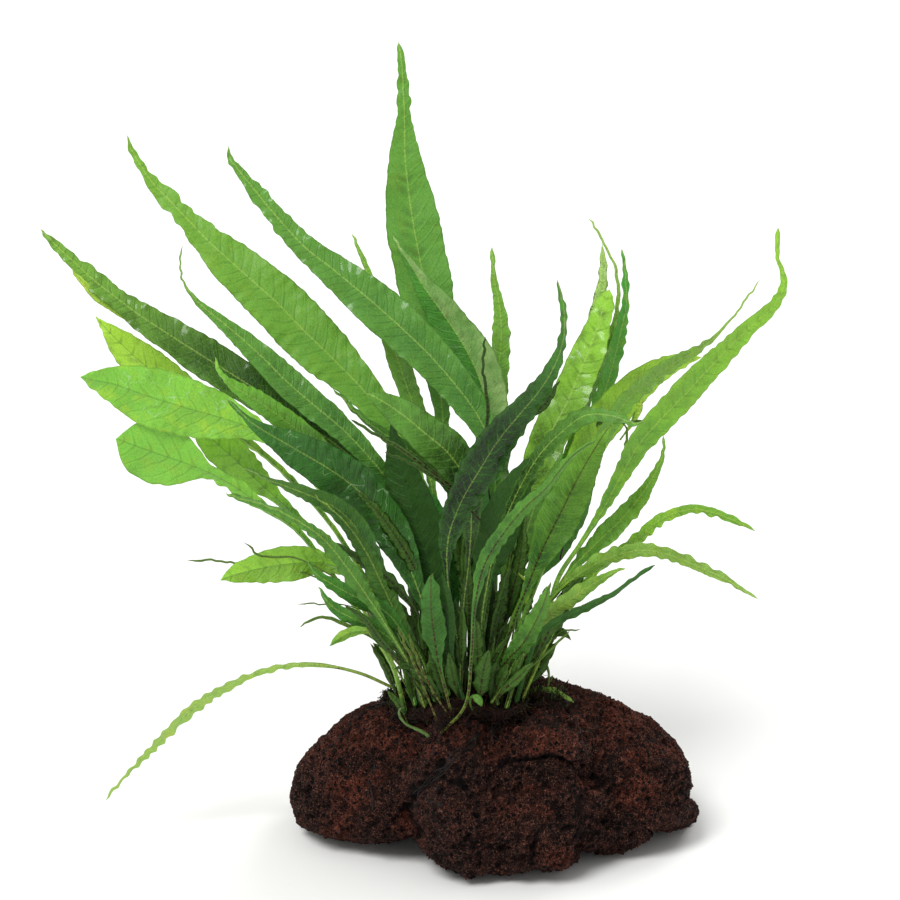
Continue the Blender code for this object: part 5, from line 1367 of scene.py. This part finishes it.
young, tree, shader = new_material("waxy_young_stalk", {"Specular IOR Level": 0.3, "Coat Weight": 0.3})
where = add(tree, "ShaderNodeTexCoord", {}, "Object")
blend = add(tree, "ShaderNodeTexNoise", {"Vector": where, "Scale": 1.0 / (2.2 * MM), "Detail": 4.0})
hair = add(tree, "ShaderNodeTexNoise", {"Vector": where, "Scale": 1.0 / (0.6 * MM)})
brown = add(tree, "ShaderNodeMapRange", {0: hair, 1: 0.56, 2: 0.68, 3: 0.0, 4: 0.8}, **SMOOTH)
colour = lay_over(tree, linear("#567a2e"), ((blend, linear("#2f4018")), (brown, linear(SCALE_BROWN))))
connect(tree, shader, colour, 0.4, hair, 0.2 * MM, 0.6)
fiddlehead = rounded_copy("unrolling_fiddlehead", "fiddlehead", ROD_LEVELS, 1.2 * MM, 0.1 * MM, 0.2 * MM)
dress(fiddlehead, "fiddlehead", young)
print(len(rhizomes) + 1, "rods rounded")

# %% [markdown]
# ## Roots and the mat round the rhizome
#
# Java fern holds on with wiry black root hairs, 0.1 to 0.3 mm thick, that run over the stone in bundles,
# and round the rhizome they felt into a near-black mat with moss in it. Each root is a thin tube that
# walks over the fine stone: after every step it is put back on the nearest place of the surface. The
# bundles follow lines of the picture, where their pixels are cast onto the stone.

# %% Tubes that walk over the stone
ground_points, ground_faces = rough.tolist(), stone_quads.tolist()
for node in rhizomes:
    rod = frame["nodes"][node].data
    start = len(ground_points)
    ground_points += [v.co for v in rod.vertices]
    ground_faces += [[start + i for i in p.vertices] for p in rod.polygons]
ground = BVHTree.FromPolygons(ground_points, ground_faces)
ROOT_SIDES, ROOT_STEP = 5, 0.7


def tube_skin(path, radii, sides=ROOT_SIDES, painted_shade_and_tone=0.0):
    """Return the skin of a tube along a path, closed at both ends."""
    path = np.array(path)
    along = unit(np.gradient(path, axis=0))
    guide = np.where(np.abs(along[:, 2:]) < 0.9, (0.0, 0.0, 1.0), (1.0, 0.0, 0.0))
    first = unit(np.cross(along, guide))
    second = np.cross(along, first)
    angles = np.arange(sides) * 2.0 * math.pi / sides
    ring = np.cos(angles)[None, :, None] * first[:, None] + np.sin(angles)[None, :, None] * second[:, None]
    points = (path[:, None] + ring * np.asarray(radii)[:, None, None]).reshape(-1, 3)
    return {"points": points, "quads": ring_quads(len(path), sides), "painted_shade_and_tone": np.full(len(points), painted_shade_and_tone),
            "caps": [list(range(sides))[::-1], list(range(len(points) - sides, len(points)))]}


def laid_on_stone(points, lift):
    """Return points put on the nearest place of the stone, lifted off it along its normal."""
    laid = []
    for point, height in zip(points, lift):
        spot, normal, _, _ = ground.find_nearest(Vector(point))
        laid.append(np.array(spot) + height * np.array(normal))
    return np.array(laid)


def along_picture(pixels):
    """Return the places on the stone behind a line of the picture, an even step apart."""
    hits = [ground.ray_cast(Vector(VIEW_EYE), Vector(sight(pixel)).normalized())[0] for pixel in pixels]
    hits = np.array([hit for hit in hits if hit is not None])
    return smooth_rows(np.repeat(hits[:, None], 4, axis=1), ROOT_STEP * MM)[0][:, 0]


# %% [markdown]
# ## Hairs, roots and moss
#
# Root hairs, the felt they make and moss are all fine fibres that differ from one to the next. So one
# function makes their materials: matt dark plant fibre, wiry and a little glossy on the roots and damp and
# dull on the moss, with a tone of its own for each fibre. The real fraying is finer than this render shows,
# so its grain is drawn about half a millimetre wide.

# %% Make a material for fibres
def fibre_material(name, base, light, frayed, grain, bump, roughness, specular):
    """Return the material of fibres, whose grain and bump are in millimetres.

    Base and light are hex colours, and the linear colour frayed is laid over both."""
    material, tree, shader = new_material(name, {"Specular IOR Level": specular})
    painted_shade_and_tone = add(tree, "ShaderNodeAttribute", {}, "Fac", attribute_name="painted_shade_and_tone")
    where = add(tree, "ShaderNodeTexCoord", {}, "Object")
    fray = add(tree, "ShaderNodeTexNoise", {"Vector": where, "Scale": 1.0 / (grain * MM), "Detail": 3.0})
    connect(tree, shader, lay_over(tree, linear(base), ((painted_shade_and_tone, linear(light)), (fray, frayed))),
            roughness, fray, bump * MM)
    return material


# %% The bundles of roots
# Each: how many roots, how far they stray (mm), their radius (mm), and the line of pixels.
ROOT_BUNDLES = (
    (5, 1.3, 0.20, ((398, 702), (378, 706), (360, 715), (350, 725), (343, 736), (335, 750), (326, 771))),
    (2, 0.7, 0.14, ((345, 736), (331, 746), (318, 757), (306, 768))),
    (3, 0.8, 0.16, ((408, 722), (401, 740), (388, 750), (380, 761), (375, 776))),
    (3, 0.8, 0.17, ((376, 764), (368, 782), (372, 798), (374, 814), (374, 824))),
    (8, 1.5, 0.24, ((478, 730), (472, 744), (451, 761), (430, 782), (419, 793), (415, 806), (419, 817),
                    (430, 832))),
    (4, 1.6, 0.17, ((500, 722), (486, 742), (468, 762), (455, 778), (442, 788))),
    (3, 1.0, 0.15, ((440, 728), (436, 745), (428, 764), (420, 780))),
    (2, 0.5, 0.15, ((566, 712), (576, 724), (584, 745), (589, 765), (592, 785))),
    (2, 0.8, 0.12, ((540, 712), (556, 722), (570, 728), (590, 734))),
    (3, 1.2, 0.15, ((520, 716), (528, 728), (524, 740), (512, 748))),
    (3, 1.2, 0.13, ((560, 700), (580, 704), (600, 708), (622, 720))),
)
# How many millimetres apart a root's bends, wavers and lifts lie, and how far it wavers.
ROOT_WALKS, ROOT_WAVER = (6.0, 1.6, 3.0), 0.25 * MM
# Shares of the line's length and radius, how much a root thins out, and its lift as a share of its radius.
ROOT_LENGTHS, ROOT_RADII, ROOT_TAPER, ROOT_LIFT = (0.6, 1.0), (0.6, 1.1), 0.65, 0.6
rng = np.random.default_rng(23)
skins = []
for count, stray, radius, pixels in ROOT_BUNDLES:
    line = along_picture(pixels)
    share = np.linspace(0.0, 1.0, len(line))
    for _ in range(count):
        s_mm = share * len(line) * ROOT_STEP
        shift = np.stack([stray * MM * wander(rng, s_mm, ROOT_WALKS[0])
                          + ROOT_WAVER * wander(rng, s_mm, ROOT_WALKS[1]) for _ in range(3)], axis=1)
        length = max(8, int(len(line) * rng.uniform(*ROOT_LENGTHS)))
        thick = radius * MM * rng.uniform(*ROOT_RADII) * (1.0 - ROOT_TAPER * share[:length])
        height = thick * ROOT_LIFT + ROOT_WAVER * np.abs(wander(rng, s_mm, ROOT_WALKS[2]))[:length]
        path = laid_on_stone((line + shift)[:length], height)
        path[1:-1] = (path[:-2] + 2.0 * path[1:-1] + path[2:]) / 4.0
        skins.append(tube_skin(path, thick, painted_shade_and_tone=rng.random()))
wire = fibre_material("wiry_black_root", "#0b0806", "#1c120c", linear("#120c09"), 0.5, 0.15, 0.5, 0.3)
dress(join_skins("root_bundles", skins, ("painted_shade_and_tone",)), "rhizome_front", wire, stands_for=False)
print(len(skins), "roots in bundles")

# %% Roots down the back of the stone
BACK_ROOTS, BACK_STEP, BACK_STEPS = 16, 0.8, (22.0, 60.0)
BACK_FEET, BACK_TURNS, BACK_STRAY = ((-30.0, 12.0), (8.0, 15.0)), (40.0, 140.0), 0.16
BACK_RADII, LOWEST_ROOT, SHORTEST_ROOT = (0.12, 0.22), 3.0 * MM, 8
skins = []
for _ in range(BACK_ROOTS):
    spot = np.array([rng.uniform(*BACK_FEET[0]), rng.uniform(*BACK_FEET[1])])
    turn, path = math.radians(rng.uniform(*BACK_TURNS)), []
    for _ in range(int(rng.uniform(*BACK_STEPS))):
        hit = ground.ray_cast(Vector((*(spot * MM), WELL_ABOVE)), Vector((0.0, 0.0, -1.0)))[0]
        if hit is None or hit.z < LOWEST_ROOT:
            break
        path.append(hit)
        turn += rng.normal(0.0, BACK_STRAY)
        spot = spot + BACK_STEP * np.array((math.cos(turn), math.sin(turn)))
    if len(path) > SHORTEST_ROOT:
        share = np.linspace(0.0, 1.0, len(path))
        thick = rng.uniform(*BACK_RADII) * MM * (1.0 - 0.6 * share)
        skins.append(tube_skin(laid_on_stone(path, thick), thick, painted_shade_and_tone=rng.random()))
dress(join_skins("roots_behind", skins, ("painted_shade_and_tone",)), "rhizome_front", wire, stands_for=False)
print(len(skins), "roots behind")

# %% [markdown]
# ## The felt and the moss
#
# The felt is grown as fibres 3 to 11 mm long that start at random places, behind boxes of the picture's
# pixels and on the rhizome, and wander over the stone. Moss shoots stand up where the mat stays damp,
# 0.8 to 2.6 mm high. One random generator with a fixed seed draws both, so they grow the same every time.

# %% Where felt and moss grow
# Each: how many fibres, their box of pixels across and down, lengths and radius (mm), dark and light.
MAT_PATCHES = (
    (460, (393, 560), (694, 728), (3.0, 11.0), 0.13, "#0d0705", "#301a10"),
    (340, (400, 545), (676, 712), (3.0, 9.0), 0.11, "#1a0e09", "#5a2c18"),
    (90, (520, 600), (690, 730), (3.0, 9.0), 0.08, "#141008", "#3a2c14"),
)
# Each: how many shoots, and their box of pixels across and down.
MOSS_PATCHES = ((170, (384, 424), (684, 706)), (150, (512, 566), (680, 706)), (60, (470, 520), (690, 712)))
MOSS_ON_RHIZOMES, MOSS_HEIGHTS, MOSS_RADII = 220, (0.8, 2.6), (0.16, 0.20, 0.05)
MAT_STEP = 0.9 * MM
# How much a fibre turns at each step, rises (mm), differs in radius, and thins out.
FELT_TURN, FELT_LIFTS, FELT_RADII, FELT_TAPER = 0.35, (0.2, 1.3), (0.7, 1.5), 0.5
# How much a shoot leans and bends, how deep it starts, and how far off a rod's faces things grow (mm).
MOSS_LEAN, MOSS_BEND, MOSS_SUNK, ROD_STRAY = 0.5, 0.25, 0.3 * MM, 0.8


# %% Fibres, and places for them
def scatter(rng, count, across, down):
    """Return places on the stone behind pixels picked at random from a box of the picture, with normals."""
    found = []
    while len(found) < count:
        aim = sight((rng.uniform(*across), rng.uniform(*down)))
        spot, normal, _, _ = ground.ray_cast(Vector(VIEW_EYE), Vector(aim).normalized())
        if spot is not None:
            found.append((np.array(spot), np.array(normal)))
    return found


def felt_fibre(rng, start, length, radius):
    """Return a thin fibre that wanders over the stone from a place, rising off it a little."""
    heading = unit(rng.normal(size=3) * (1.0, 1.0, 0.3))
    path, spot = [], start
    for _ in range(max(4, int(length * MM / MAT_STEP))):
        path.append(spot)
        heading = unit(heading + rng.normal(0.0, FELT_TURN, 3))
        spot = spot + heading * MAT_STEP
    share = np.linspace(0.0, 1.0, len(path))
    laid = laid_on_stone(path, radius * MM + rng.uniform(*FELT_LIFTS) * MM * np.sin(math.pi * share))
    return tube_skin(laid, radius * MM * (1.0 - FELT_TAPER * share), 4, rng.random())


def on_rhizomes(rng, count):
    """Return places on the rhizome's rods picked at random, with normals."""
    faces = [face for node in rhizomes for face in frame["nodes"][node].data.polygons]
    areas = np.array([face.area for face in faces])
    picked = [faces[i] for i in rng.choice(len(faces), count, p=areas / areas.sum())]
    return [(np.array(face.center) + rng.normal(0.0, ROD_STRAY, 3) * MM, np.array(face.normal))
            for face in picked]


# %% Grow the felt
rng = np.random.default_rng(31)
for number, (count, across, down, lengths, radius, dark, light) in enumerate(MAT_PATCHES):
    skins = [felt_fibre(rng, spot, rng.uniform(*lengths), radius * rng.uniform(*FELT_RADII))
             for spot, normal in scatter(rng, count, across, down) + on_rhizomes(rng, count // 2)]
    felt = fibre_material("felted_root_hair_%d" % number, dark, light, dimmed(linear(dark), 0.8), 0.6, 0.1,
                          0.8, 0.2)
    dress(join_skins("root_mat_%d" % number, skins, ("painted_shade_and_tone",)), "rhizome_front", felt, stands_for=False)
    print("mat", number, "has", len(skins), "fibres")

# %% Grow the moss
skins = []
moss_spots = [spot for patch in MOSS_PATCHES for spot in scatter(rng, *patch)]
for spot, normal in moss_spots + on_rhizomes(rng, MOSS_ON_RHIZOMES):
    tip = spot + unit(normal + rng.normal(0.0, MOSS_LEAN, 3)) * rng.uniform(*MOSS_HEIGHTS) * MM
    bend = rng.normal(0.0, MOSS_BEND, 3) * MM
    path = [spot - normal * MOSS_SUNK, 0.5 * (spot + tip) + bend, tip]
    skins.append(tube_skin(path, np.array(MOSS_RADII) * MM, 4, rng.random()))
moss = fibre_material("short_damp_moss", "#16200c", "#3c4a1c", linear("#1c1a0e"), 0.5, 0.1, 0.85, 0.2)
dress(join_skins("moss_round_rhizome", skins, ("painted_shade_and_tone",)), "rhizome_front", moss, stands_for=False)
print(len(skins), "moss shoots")

# %% Count the triangles
total = sum(len(p.vertices) - 2 for o in scene.objects if o.type == "MESH" and not o.hide_render
            for p in o.data.polygons)
print("triangles in all:", total)
